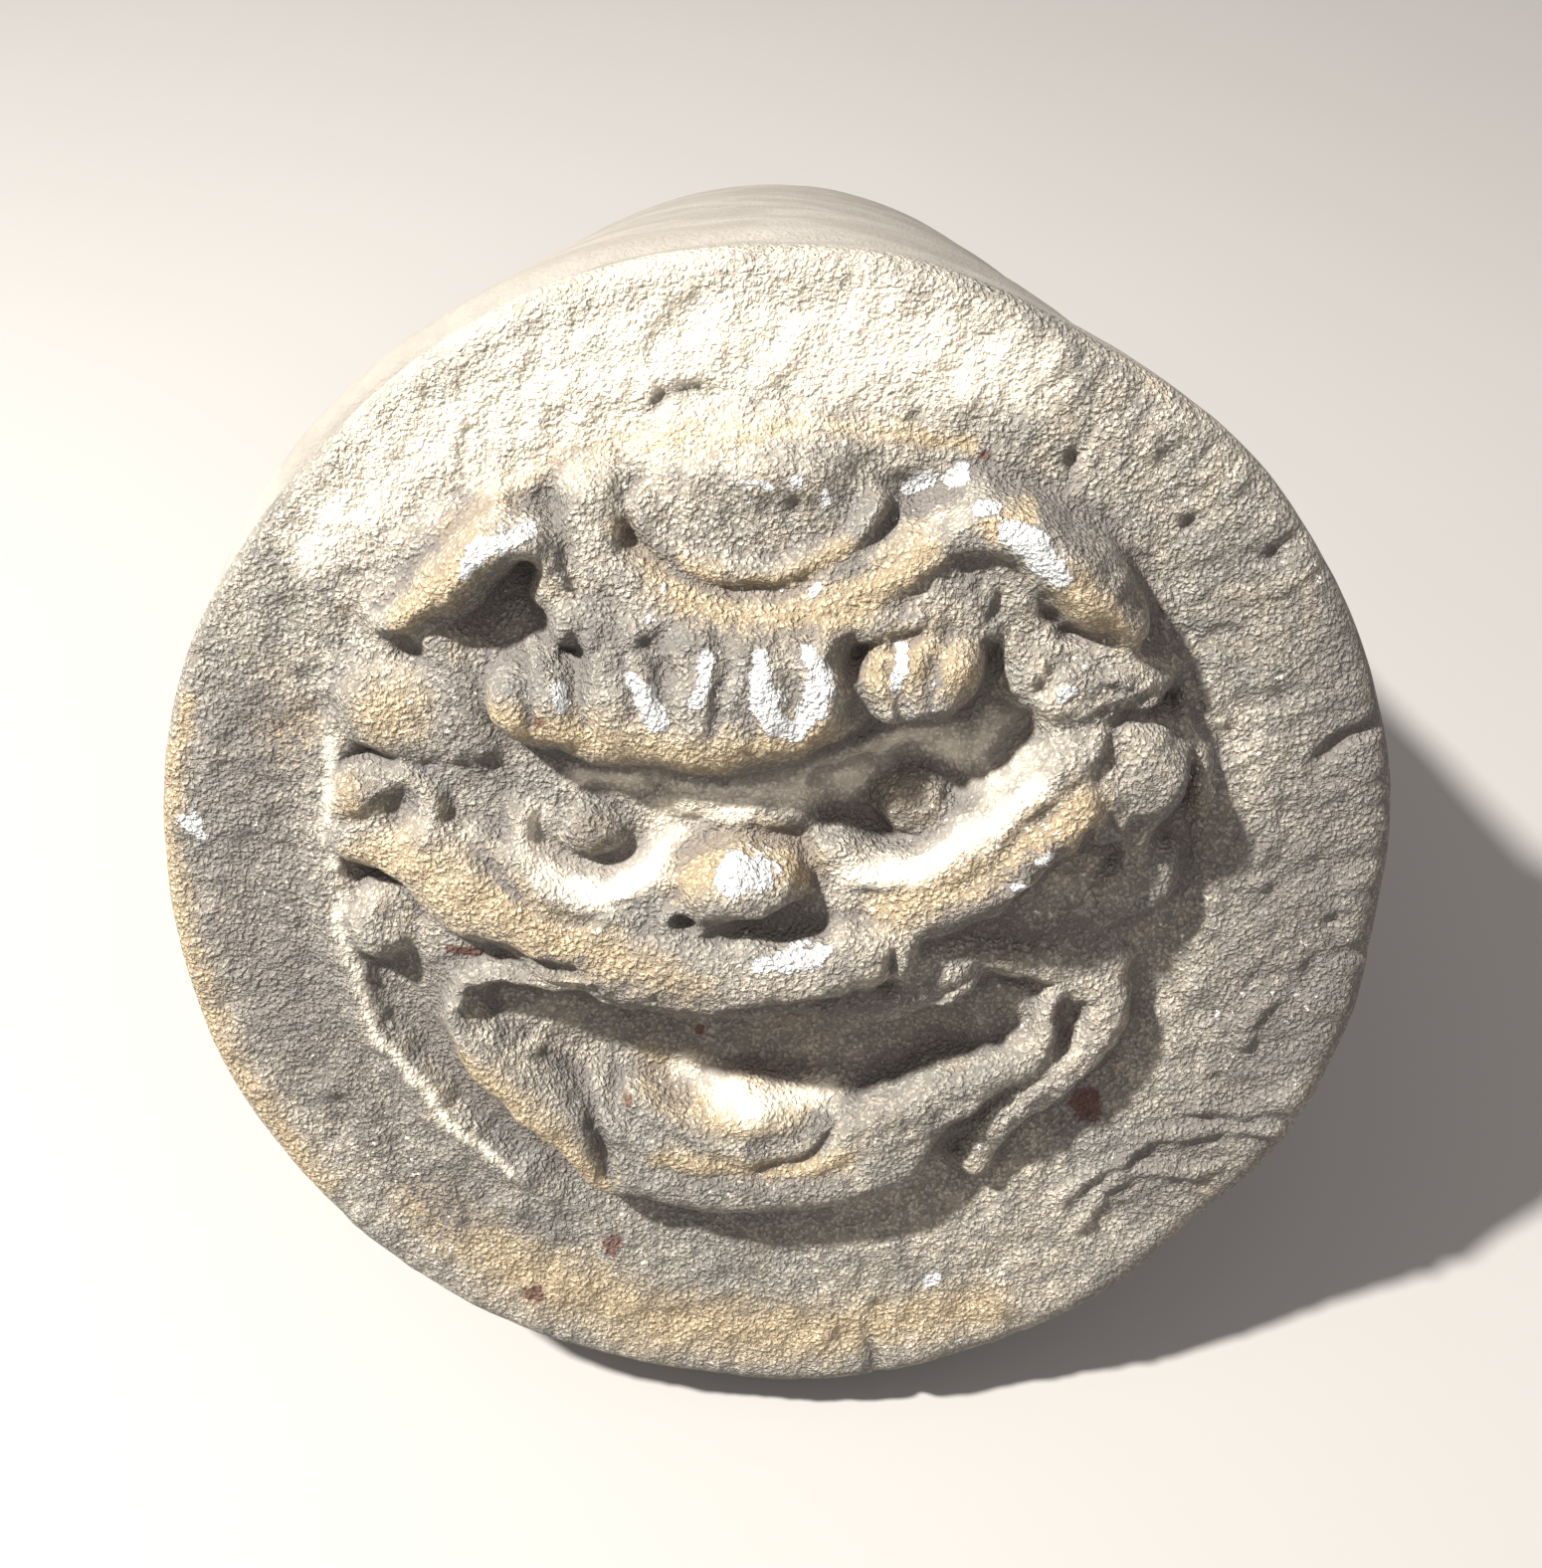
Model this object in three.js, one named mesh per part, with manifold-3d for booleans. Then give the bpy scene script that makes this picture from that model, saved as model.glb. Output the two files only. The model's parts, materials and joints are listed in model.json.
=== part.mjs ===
// Round eave-end roof tile of fired grey clay, one solid: a thick disc with a moulded beast mask on
// its face, and a half-round barrel that runs back from the disc's upper half.
//
// Millimetres, +Z up. The tile is shaped in its own frame (x right, y back along the barrel, z up the
// disc, face plane at y = 0) and then laid as it rests on a table: on the foot of the disc and on the
// two rear corners of the barrel, with the mask looking forward and up.

import * as THREE from 'three';
import { mergeVertices } from 'three/addons/utils/BufferGeometryUtils.js';
import Module from 'manifold-3d';

// ---- driving dimensions ------------------------------------------------------------------------

const DISC_RADIUS = 65.6;
const DISC_THICKNESS = 20;
const RIM_EDGE = 3.2; // mean rounding of the disc's front edge
const BACK_EDGE = 1;
const OUTLINE_POINTS = 162; // six sectors of 27

const MASK_RADIUS = 47; // the bead that rings the mask
const MASK_HEIGHT = 0.8; // its centre above the disc's centre
const MASK_RINGS = 27;
const RIM_RINGS = 4;

const BARREL_LENGTH = 170; // face plane to rear end
const BARREL_OUTER = 63.4;
const BARREL_INNER = 49;
const BARREL_SHIFT = new THREE.Vector2(-2.6, 2); // the barrel's axis from the disc's centre
const BARREL_START = 9; // buried in the disc
const BED = 0; // height of the long cut faces
const COVE = 12; // clay smeared into the corner behind the disc
const BARREL_STEPS = 44;

const FOOT_WEAR = 1; // how deep the resting spots are worn flat

// ---- brushes: the mask is a field of heights above the face plane --------------------------------

const clamp01 = (x) => Math.min(Math.max(x, 0), 1);
const ease = (t) => t * t * (3 - 2 * t);
const fall = (x, flat) => 1 - ease(clamp01((x - flat) / (1 - flat)));

const lift = (height, level, share) => height + Math.max(level - height, 0) * share;
const sink = (height, level, share) => height + Math.min(level - height, 0) * share;
const carve = (height, depth, share) => height - depth * share;

// A stroke's rows are [x, z, level, half width]; a smooth curve runs through all four values.
function stroke(change, flat, rows) {
  const places = new THREE.CatmullRomCurve3(rows.map(([x, z]) => new THREE.Vector3(x, 0, z)));
  const count = (rows.length - 1) * 4;
  const line = [];
  for (let k = 0; k <= count; k++) {
    const at = (k / count) * (rows.length - 1);
    const row = Math.min(Math.floor(at), rows.length - 2);
    const { x, z } = places.getPoint(k / count);
    line.push({
      x,
      z,
      level: THREE.MathUtils.lerp(rows[row][2], rows[row + 1][2], at - row),
      width: THREE.MathUtils.lerp(rows[row][3], rows[row + 1][3], at - row),
    });
  }
  return (x, z, height) => {
    const near = nearest(line, x, z);
    return change(height, near.level, fall(near.distance / near.width, flat));
  };
}

function nearest(line, x, z) {
  let best = { distance: Infinity, level: 0, width: 1 };
  for (let k = 1; k < line.length; k++) {
    const [a, b] = [line[k - 1], line[k]];
    const [dx, dz] = [b.x - a.x, b.z - a.z];
    const t = clamp01(((x - a.x) * dx + (z - a.z) * dz) / (dx * dx + dz * dz));
    const distance = Math.hypot(x - a.x - t * dx, z - a.z - t * dz);
    if (distance < best.distance) {
      best = {
        distance,
        level: THREE.MathUtils.lerp(a.level, b.level, t),
        width: THREE.MathUtils.lerp(a.width, b.width, t),
      };
    }
  }
  return best;
}

// An oval spot of the given half sizes, turned by some degrees, pulled or pressed to a level.
function spot(change, flat, [cx, cz], [rx, rz], level, turn = 0) {
  const angle = THREE.MathUtils.degToRad(turn);
  const [cos, sin] = [Math.cos(angle), Math.sin(angle)];
  return (x, z, height) => {
    const [dx, dz] = [x - cx, z - cz];
    const distance = Math.hypot((dx * cos + dz * sin) / rx, (dz * cos - dx * sin) / rz);
    return change(height, level, fall(distance, flat));
  };
}

const ridge = (flat, ...rows) => stroke(lift, flat, rows);
const trough = (flat, ...rows) => stroke(sink, flat, rows);
const groove = (...rows) => stroke(carve, 0, rows);
const mound = (flat, ...rest) => spot(lift, flat, ...rest);

// ---- the mask ------------------------------------------------------------------------------------

function ringBead() {
  const rows = [];
  for (let degrees = 125; degrees <= 245; degrees += 20) {
    const angle = THREE.MathUtils.degToRad(degrees);
    const level = 1.6 - 1.2 * Math.abs(degrees - 185) / 60;
    rows.push([MASK_RADIUS * Math.cos(angle), MASK_HEIGHT + MASK_RADIUS * Math.sin(angle), level, 3.6]);
  }
  return ridge(0.1, ...rows);
}

const GROUND = [
  ringBead(),
  mound(0.8, [0, 4], [44.5, 41], 3.2),
  mound(0.72, [-2, -8], [39.5, 33.5], 3.4),
  mound(0.5, [-2, 0], [30, 32], 6),
];

const CREST = [
  mound(0.4, [-1.5, 42], [17.5, 10], 4.6),
  ridge(0.3, [-18.4, 40, 5.6, 4], [-15.2, 35, 6.8, 5], [-7, 30.8, 7.6, 6], [-1, 30, 8, 6],
    [4.4, 31, 8, 6], [9.6, 34, 7.8, 5.8], [15.2, 37.2, 7.8, 5.4], [20, 39.8, 8.4, 5.6]),
  trough(0.1, [-16, 41.5, 4.4, 2.2], [-10.6, 34.4, 5.2, 2.4], [-6, 32.8, 5.8, 2.2],
    [0, 32.3, 6.2, 2.2], [6, 34, 6, 2.4], [13, 38.4, 5, 2.4]),
];

const EARS = [
  ridge(0.1, [-42, 31, 1.2, 9], [-35, 38, 3.2, 10], [-27, 43, 4, 8]),
  ridge(0.25, [-38.6, 28.8, 4, 3.2], [-34.8, 31.2, 6.4, 5], [-31, 33.8, 8, 6.2], [-27.4, 36.8, 9, 6],
    [-24, 38, 9.2, 5], [-22, 36.2, 8.4, 4.2], [-21.8, 33, 7, 3.6]),
  trough(0.55, [-38, 25.2, 1.6, 3], [-34, 26.4, 2, 3.2], [-30, 28, 2.6, 3.4], [-27, 31, 3.4, 3.4],
    [-25, 34, 4.6, 2.4]),
  ridge(0.3, [17, 38.2, 7.4, 4.2], [20.6, 39.6, 8.8, 5.2], [24.6, 38.2, 10, 6.8], [28.6, 35, 10.2, 7],
    [32.4, 31.6, 9, 6.4]),
  trough(0.4, [17, 37, 4, 3], [19.5, 34.6, 3.6, 4], [21.5, 31.5, 4, 4], [23, 28.5, 4.4, 4]),
];

const BROW = [
  mound(0.25, [-39, 20.2], [7.4, 7.6], 5.2),
  mound(0.3, [30, 24.4], [9.5, 5.6], 7.8, -6),
  mound(0.2, [36.5, 22.8], [4.4, 4.2], 6.8),
  ridge(0.5, [-25, 22, 8.8, 5.4], [-20, 22, 10.2, 7.2], [-14, 22.2, 11.4, 8.2], [-7, 22.2, 12.4, 8.6],
    [0, 22.4, 12.8, 8.4], [4.6, 23.8, 12.2, 6.8]),
  mound(0.3, [14.4, 24.6], [7.4, 6.4], 12.2, 12),
  groove([-19.4, 28.2, 1.6, 2.2], [-19, 24.6, 2, 2.2], [-17, 19.6, 1, 2]),
  groove([-10.4, 29.4, 1.2, 2.2], [-10.2, 24, 1.6, 2.2], [-9.6, 20.4, 1, 2]),
  groove([7.2, 29.4, 2.2, 2.4], [8, 25.4, 3, 2.6], [8.2, 20.4, 2, 2.4]),
];

const EYES = [
  trough(0.45, [-24, 9.8, 4.4, 3], [-18.4, 8.8, 3.4, 7], [-12.5, 10.4, 4.4, 5], [-7, 12.6, 5.6, 3.6]),
  trough(0.5, [5.6, 12.4, 4, 4], [10.6, 11.6, 3, 6.8], [16, 13, 3, 6.8], [22.6, 18, 4.4, 5]),
  mound(0.2, [-18.2, 7.9], [4.2, 4.2], 7),
  mound(0.2, [14.2, 10.8], [4.2, 4.2], 7.2),
  ridge(0.2, [-8, 13.4, 7, 5], [-3, 11.4, 8, 7], [2.6, 11.6, 7.6, 4.4]),
];

const CHEEKS = [
  ridge(0.2, [-31.4, 10.4, 6.6, 3.6], [-27.6, 7, 7.6, 4], [-22.6, 3.6, 8.6, 4.2], [-16, 3, 9, 4.4],
    [-10, 5.6, 9.2, 4.6]),
  mound(0.45, [-2, -5], [26, 13], 10.2),
  ridge(0.35, [-44, 3.4, 4.4, 4], [-38.5, 4.6, 6, 5], [-33, 4, 8.4, 5.6], [-28, 0.8, 9.8, 6],
    [-22, -1.6, 10.4, 6], [-16, -3, 10.4, 5.4]),
  ridge(0.25, [4, 9.6, 8.8, 4], [9, 6.2, 9.6, 4.6], [15, 5.8, 9.8, 4.6], [19.6, 9.4, 9.6, 4.4],
    [23.6, 14.2, 9.6, 4.6], [28, 18, 9.4, 4.6], [32.4, 18.4, 8.4, 4]),
  ridge(0.3, [11, 1.4, 9.4, 4.4], [17, 2.8, 10.8, 4.8], [22.5, 6.6, 11.6, 5.2], [27, 10.4, 11.6, 5.6],
    [31, 12.6, 11, 5.4], [33.4, 10.6, 9.4, 4.6]),
  groove([-33.6, 9.6, 1.6, 2], [-31, 6.8, 2.8, 2.2], [-27, 1.4, 1.8, 2]),
  groove([18.6, 4.6, 0.8, 1.8], [21.6, 7.6, 1.8, 2], [28.8, 15.4, 1.4, 2]),
];

const SNOUT = [
  mound(0.3, [-2.6, 4.2], [9, 6], 14),
  mound(0.2, [-8.4, 1], [4.6, 3.8], 11.2),
  mound(0.2, [5.6, 0.6], [6, 4.4], 10.8),
  ridge(0.25, [-20, -5.4, 10, 5], [-13, -6, 10.8, 5.6], [-5, -5.8, 12, 5.6], [3, -5, 12.6, 5.4],
    [9, -4, 12, 5.2], [14, -4.4, 11, 4.6]),
  ridge(0.2, [13, -5.4, 9.6, 4.4], [18, -6.4, 7.8, 4.4], [24, -7.6, 6.2, 4.4], [29.4, -8, 5.2, 4],
    [33.6, -10.8, 4.6, 4], [35.8, -14, 4.8, 4.2], [34, -18, 4.8, 4.2]),
];

const MOUTH = [
  trough(0.6, [-28, -12.8, 2.4, 3.4], [-22, -15.2, 1.2, 5.6], [-14, -17.2, 0.2, 6.6], [-6, -18.4, -0.2, 7],
    [3, -18.8, -0.2, 7], [12, -17.6, 0, 6.8], [20, -15.2, 1.2, 6], [26.6, -12.2, 2.4, 4.6]),
  ridge(0.3, [-22, -8.2, 8, 4], [-14, -9.8, 8.4, 5], [-6, -10.4, 8.8, 5.6], [3, -10.4, 8.8, 5.8],
    [12, -9.4, 8.4, 5.2], [19, -8.2, 7.4, 4.2]),
];

const JAW = [
  ridge(0.25, [-32.8, -10, 5.4, 4], [-33.2, -14.6, 5.4, 4.6], [-30.8, -19.2, 5.6, 5.6],
    [-26.6, -24, 5.8, 6.4], [-22, -28.6, 5.8, 6.4], [-18.4, -32.8, 5.6, 5.4]),
  ridge(0.35, [-20, -22, 3.4, 4.6], [-15, -27, 5, 5.6], [-8, -31.6, 5.8, 6.4], [0, -33.4, 6.2, 6.8],
    [8, -32, 6.2, 6.4], [14, -28, 5.8, 5.8], [20, -22.8, 5.4, 4.4], [26, -19.4, 5.2, 3.8],
    [29.6, -15, 5.2, 3.2], [30.2, -11, 5, 3]),
  mound(0.3, [-2.4, -26.4], [11, 5.6], 5.8),
  groove([-9, -27.4, 0.8, 2], [-3, -29.6, 1.4, 2], [2, -29.4, 1.8, 2], [9.6, -23.4, 1.6, 2]),
  ridge(0.25, [35.8, -14.6, 4.8, 4.2], [32.4, -20, 4.8, 4.4], [28, -24.4, 4.4, 4.4],
    [24.6, -28.4, 3.8, 4], [22.4, -33.4, 2.8, 3.4]),
  trough(0.3, [25.6, -23.6, 3.2, 2], [22.4, -26.2, 2.4, 2.4], [19.8, -29.8, 1.6, 2.6],
    [18.8, -35.4, 0.4, 2.8]),
];

const CURLS = [
  ridge(0.1, [-41, 13.8, 4.6, 2.6], [-44.4, 11.4, 4.2, 2.6], [-45.4, 7.6, 4, 2.6], [-43.4, 4.2, 4.4, 2.6]),
  spot(sink, 0.3, [-38.8, 8.8], [3.2, 2.6], 2.2),
  mound(0.2, [-43.4, -5.4], [4.4, 5.4], 4.4),
  mound(0.3, [38.4, 14.8], [5, 6.4], 6.6, 10),
  mound(0.2, [37, 8.6], [3.8, 3.6], 4.8),
  mound(0.2, [38.6, 1.4], [4.4, 4.4], 4.8),
];

const BRUSHES = [GROUND, CREST, EARS, BROW, EYES, CHEEKS, SNOUT, MOUTH, JAW, CURLS].flat();
const FIELD_DEPTH = 1; // the field round the mask lies this far behind the rim

function maskHeight(x, z) {
  const radius = Math.hypot(x, z - MASK_HEIGHT);
  const field = -FIELD_DEPTH * (1 - ease(clamp01((radius - 42.5) / 4.5)));
  return BRUSHES.reduce((height, brush) => brush(x, z, height), field);
}

// ---- the disc ------------------------------------------------------------------------------------

const turnOf = (point) => (point / OUTLINE_POINTS) * 2 * Math.PI;

// The outline is pressed by hand: fuller towards the foot, with a few flat places, each given as
// [degrees round from the right, half width in degrees, depth].
const FLAT_PLACES = [[60, 22, 1], [134, 24, 0.9], [-42, 12, 1.1], [-102, 14, 0.5], [-5, 12, 0.7]];

function outlineRadius(turn) {
  const full = DISC_RADIUS + 1.2 * Math.cos(turn + 1.2);
  return FLAT_PLACES.reduce((radius, [degrees, width, depth]) => {
    const past = THREE.MathUtils.radToDeg(turn) - degrees;
    const away = Math.abs(THREE.MathUtils.euclideanModulo(past + 180, 360) - 180);
    return radius - depth * fall(away / width, 0);
  }, full);
}

// The front edge is worn rounder low on the right.
const edgeRounding = (turn) => RIM_EDGE + 1.2 * Math.cos(turn + 0.7);

function outlineRing(inset, y) {
  return Array.from({ length: OUTLINE_POINTS }, (_, k) => {
    const turn = turnOf(k);
    const radius = outlineRadius(turn) - inset(turn);
    return [radius * Math.cos(turn), y(turn), radius * Math.sin(turn)];
  });
}

// Rings of 6, 12, 18 ... points, joined by even triangles, carry the mask.
function maskRings() {
  const rings = [[[0, -maskHeight(0, MASK_HEIGHT), MASK_HEIGHT]]];
  for (let ring = 1; ring <= MASK_RINGS; ring++) {
    const radius = (ring / MASK_RINGS) * MASK_RADIUS;
    rings.push(Array.from({ length: 6 * ring }, (_, k) => {
      const turn = (k / (6 * ring)) * 2 * Math.PI;
      const [x, z] = [radius * Math.cos(turn), MASK_HEIGHT + radius * Math.sin(turn)];
      return [x, -maskHeight(x, z), z];
    }));
  }
  return rings;
}

function rimRings(inner) {
  const edge = outlineRing(edgeRounding, () => 0);
  const rings = [];
  for (let ring = 1; ring <= RIM_RINGS; ring++) {
    const t = ring / RIM_RINGS;
    rings.push(inner.map(([x, , z], k) => {
      const [px, pz] = [THREE.MathUtils.lerp(x, edge[k][0], t), THREE.MathUtils.lerp(z, edge[k][2], t)];
      return [px, -maskHeight(px, pz), pz];
    }));
  }
  return rings;
}

function edgeRings() {
  const rings = [];
  for (const angle of [30, 60, 90].map(THREE.MathUtils.degToRad)) {
    rings.push(outlineRing((t) => edgeRounding(t) * (1 - Math.sin(angle)),
      (t) => edgeRounding(t) * (1 - Math.cos(angle))));
  }
  rings.push(outlineRing(() => 0, () => DISC_THICKNESS - BACK_EDGE));
  rings.push(outlineRing(() => BACK_EDGE, () => DISC_THICKNESS));
  return rings;
}

function discGeometry() {
  const mask = maskRings();
  const same = [mask.at(-1), ...rimRings(mask.at(-1)), ...edgeRings()];
  const triangles = [];
  for (let ring = 1; ring < mask.length; ring++) {
    joinGrowing(triangles, mask[ring - 1], mask[ring], ring);
  }
  for (let ring = 1; ring < same.length; ring++) {
    joinEqual(triangles, same[ring - 1], same[ring]);
  }
  const back = same.at(-1);
  const hub = [0, DISC_THICKNESS, 0];
  back.forEach((point, k) => triangles.push([hub, point, back[(k + 1) % back.length]].reverse()));
  return geometryOf(triangles);
}

function joinGrowing(triangles, inner, outer, ring) {
  for (let sector = 0; sector < 6; sector++) {
    for (let k = 0; k < ring; k++) {
      const a = outer[sector * ring + k];
      const b = outer[(sector * ring + k + 1) % outer.length];
      const c = inner[(sector * (ring - 1) + k) % inner.length];
      triangles.push([c, a, b]);
      if (k < ring - 1) {
        const d = inner[(sector * (ring - 1) + k + 1) % inner.length];
        triangles.push([c, b, d]);
      }
    }
  }
}

function joinEqual(triangles, inner, outer) {
  inner.forEach((point, k) => {
    const next = (k + 1) % inner.length;
    triangles.push([point, outer[k], outer[next]], [point, outer[next], inner[next]]);
  });
}

// ---- the barrel ----------------------------------------------------------------------------------

// Half sections along the barrel: [y, outer radius, inner radius].
function barrelStations() {
  const stations = [[BARREL_START, BARREL_OUTER, BARREL_INNER - COVE]];
  for (let step = 0; step <= 5; step++) {
    const angle = (step / 5) * (Math.PI / 2);
    const inner = BARREL_INNER - COVE * (1 - Math.sin(angle));
    stations.push([DISC_THICKNESS + COVE * (1 - Math.cos(angle)), BARREL_OUTER, inner]);
  }
  for (const share of [0.3, 0.55, 0.8]) {
    stations.push([BARREL_LENGTH * share + DISC_THICKNESS, BARREL_OUTER, BARREL_INNER]);
  }
  for (const [back, round] of [[3, 0], [1, 0.8], [0, 2.6]]) {
    stations.push([BARREL_LENGTH - back, BARREL_OUTER - round, BARREL_INNER + round]);
  }
  return stations;
}

// The loop of one section: over the outer arc, then back along the inner arc. Where an arc meets a
// bed it is drawn in a little, which rounds the long edges.
function barrelSection([y, outer, inner]) {
  const arc = (radius, sign) => {
    const start = Math.asin((BED - BARREL_SHIFT.y) / radius);
    return Array.from({ length: BARREL_STEPS + 1 }, (_, k) => {
      const angle = start + (k / BARREL_STEPS) * (Math.PI - 2 * start);
      const round = k === 0 || k === BARREL_STEPS ? 1.6 * sign : 0;
      return [
        BARREL_SHIFT.x + (radius - round) * Math.cos(angle),
        y,
        k === 0 || k === BARREL_STEPS ? BED : BARREL_SHIFT.y + radius * Math.sin(angle),
      ];
    });
  };
  return [...arc(outer, 1), ...arc(inner, -1).reverse()];
}

function barrelGeometry() {
  const sections = barrelStations().map(barrelSection);
  const triangles = [];
  for (let k = 1; k < sections.length; k++) {
    joinEqual(triangles, sections[k - 1], sections[k]);
  }
  closeEnd(triangles, sections[0], false);
  closeEnd(triangles, sections.at(-1), true);
  return geometryOf(triangles);
}

function closeEnd(triangles, loop, rear) {
  const last = loop.length - 1;
  for (let k = 0; k < BARREL_STEPS; k++) {
    const [a, b, c, d] = [loop[k], loop[k + 1], loop[last - k - 1], loop[last - k]];
    const pair = [[a, b, c], [a, c, d]];
    triangles.push(...(rear ? pair.map((triangle) => triangle.toReversed()) : pair));
  }
}

// ---- solids --------------------------------------------------------------------------------------

function geometryOf(triangles) {
  const geometry = new THREE.BufferGeometry();
  geometry.setAttribute('position', new THREE.Float32BufferAttribute(triangles.flat(2), 3));
  return geometry;
}

const wasm = await Module();
wasm.setup();

function solidOf(geometry) {
  const bare = geometry.index ? geometry.toNonIndexed() : geometry;
  bare.deleteAttribute('normal');
  bare.deleteAttribute('uv');
  const merged = mergeVertices(bare, 1e-4);
  return new wasm.Manifold(new wasm.Mesh({
    numProp: 3,
    vertProperties: merged.attributes.position.array,
    triVerts: Uint32Array.from(merged.index.array),
  }));
}

function meshOf(solid) {
  const { vertProperties, triVerts } = solid.getMesh();
  const geometry = new THREE.BufferGeometry();
  geometry.setAttribute('position', new THREE.BufferAttribute(vertProperties, 3));
  geometry.setIndex(new THREE.BufferAttribute(triVerts, 1));
  return geometry;
}

// The table meets the tile along a line from the disc's back edge to the barrel's rear corners.
const LEAN = Math.atan2(BED + outlineRadius(-Math.PI / 2), BARREL_LENGTH - DISC_THICKNESS);

// What lies below that line is worn away, which leaves three small flats.
function tableBlock() {
  const size = 400;
  const block = new THREE.BoxGeometry(size, size, size);
  block.translate(0, 0, FOOT_WEAR - size / 2);
  block.rotateX(LEAN);
  block.translate(0, BARREL_LENGTH, BED);
  return block;
}

const joined = solidOf(discGeometry()).add(solidOf(barrelGeometry()));
const worn = joined.subtract(solidOf(tableBlock()));

const clay = new THREE.MeshStandardMaterial({ color: 0xa79d8a, roughness: 0.95, metalness: 0 });
const tile = new THREE.Mesh(meshOf(worn), clay);
tile.name = 'eave_tile';
tile.rotation.x = -LEAN;

const onTable = new THREE.Group();
onTable.add(tile);
onTable.updateMatrixWorld(true);

// The origin is under the middle of the tile's box, on the table.
const box = new THREE.Box3().setFromObject(tile, true);
const middle = box.getCenter(new THREE.Vector3());
tile.position.set(-middle.x, -middle.y, -box.min.z);
onTable.updateMatrixWorld(true);

export default onTable;
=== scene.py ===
# %% [markdown]
# # A round eave tile with a beast mask, in fired grey clay
# A tile like this closes the end of a row of barrel tiles at the eave. A clay disc was pressed in a
# carved mould, so a beast mask stands on its face, and a half-round barrel was luted to its back.
# The tile is old: its surface is sandy, lime clings to the high spots and soot sits in the hollows.
# Some of the colour given to it below is painted shade and painted highlight.
#
# The frame holds the measured tile as a plain solid. One finer mesh stands for it here. All its
# shapes are worked out in the tile's own directions first, in millimetres, and moved to the table
# only at the end: u runs across the face, v up the face, and y back along the barrel.

# %% The frame
import json
import math

import bmesh
import bpy
import numpy as np
from mathutils import Matrix, Vector, noise


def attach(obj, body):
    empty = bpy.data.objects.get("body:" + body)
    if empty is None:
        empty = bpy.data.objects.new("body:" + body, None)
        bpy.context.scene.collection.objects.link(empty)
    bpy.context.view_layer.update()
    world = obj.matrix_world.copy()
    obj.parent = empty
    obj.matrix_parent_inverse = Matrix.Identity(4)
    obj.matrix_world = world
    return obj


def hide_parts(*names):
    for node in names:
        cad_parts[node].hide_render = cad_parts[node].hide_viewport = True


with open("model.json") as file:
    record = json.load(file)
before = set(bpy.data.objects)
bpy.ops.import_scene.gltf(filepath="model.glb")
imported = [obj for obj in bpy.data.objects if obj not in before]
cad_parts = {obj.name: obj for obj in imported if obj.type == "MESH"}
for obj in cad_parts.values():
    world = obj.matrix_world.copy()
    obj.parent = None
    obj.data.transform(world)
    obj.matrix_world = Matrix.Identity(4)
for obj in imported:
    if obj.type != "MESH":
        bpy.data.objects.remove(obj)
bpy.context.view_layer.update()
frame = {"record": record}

# %% [markdown]
# ## Where the tile stands
# The tile lies tilted: on the foot of the disc and on the two rear corners of the barrel. The
# record's mount on the disc's back says which way the barrel runs, and where the disc's back is,
# so nothing about the pose has to be typed in again.

# %% The tile's own directions
MM = 0.001
DISC_THICKNESS = 20.0
BACK_MOUNT_DROP = 40.0

mounts = {mount["name"]: mount for mount in frame["record"]["mounts"]}
back = Vector(mounts["disc_back"]["axis"]).normalized()
across = Vector((1, 0, 0))
up = across.cross(back).normalized()
mount_point = Vector(mounts["disc_back"]["pos_m"])
disc_centre = mount_point - back * DISC_THICKNESS * MM + up * BACK_MOUNT_DROP * MM
to_table = Matrix((across, back, up)).transposed()
print("disc centre", [round(c, 4) for c in disc_centre], "tilt", round(math.degrees(math.asin(-back.z)), 1))

# %% [markdown]
# ## The outline of the disc
# The disc was trimmed by hand, so it is round only at a glance: it is a little wider low on the
# right, and knocks and handling have left shallow flats. A radius that changes with the turn
# round the disc says all of that, and both the edge and the face are built on it.

# %% Outline
DISC_RADIUS = 65.6
SPREAD = 1.2
SPREAD_TURN = 1.2
EDGE_MEAN = 3.2
EDGE_SWING = 1.2
EDGE_TURN = 0.7
# turn and half width in degrees, depth in millimetres
FLAT_PLACES = [(60, 22, 1.0), (134, 24, 0.9), (-42, 12, 1.1), (-102, 14, 0.5), (-5, 12, 0.7)]


def ease(x):
    x = np.clip(x, 0, 1)
    return x * x * (3 - 2 * x)


def outline_radius(turn):
    radius = DISC_RADIUS + SPREAD * np.cos(turn + SPREAD_TURN)
    for place, half_width, depth in FLAT_PLACES:
        away = np.abs((np.degrees(turn) - place + 180) % 360 - 180)
        radius = radius - depth * ease(1 - away / half_width)
    return radius


def edge_rounding(turn):
    return EDGE_MEAN + EDGE_SWING * np.cos(turn + EDGE_TURN)


turns = np.radians(np.arange(0, 360, 45))
print("outline", outline_radius(turns).round(1))

# %% [markdown]
# ## A sheet of clay to work on
# The mould pressed the mask up out of the face, so it has no undercuts: every spot of the face has
# just one height. That makes a plain grid of heights the right clay to model in. It is quicker
# than sculpting a mesh, and each lock and lip can be written down as a stroke with a level.

# %% The clay grid
PITCH = 0.25
REACH = 70.0
rule = np.arange(-REACH, REACH + PITCH / 2, PITCH)
clay = np.zeros((rule.size, rule.size))
print("clay grid", clay.shape)

# %% [markdown]
# ## Lumps, and a wandering hand
# Pressed clay is lumpy. The lumps are random numbers with only one band of wavelengths kept, which
# looks like hand-pressed clay and not like television snow. The same lumps bend the coordinates
# that the brushes read, by about a third of a millimetre: no edge on the tile is a clean curve,
# because a hand cut the mould and centuries wore what came out of it.

# %% Lumps and the wandering hand
FINENESS = np.hypot(np.fft.fftfreq(rule.size, PITCH)[:, None], np.fft.rfftfreq(rule.size, PITCH)[None, :])


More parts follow.
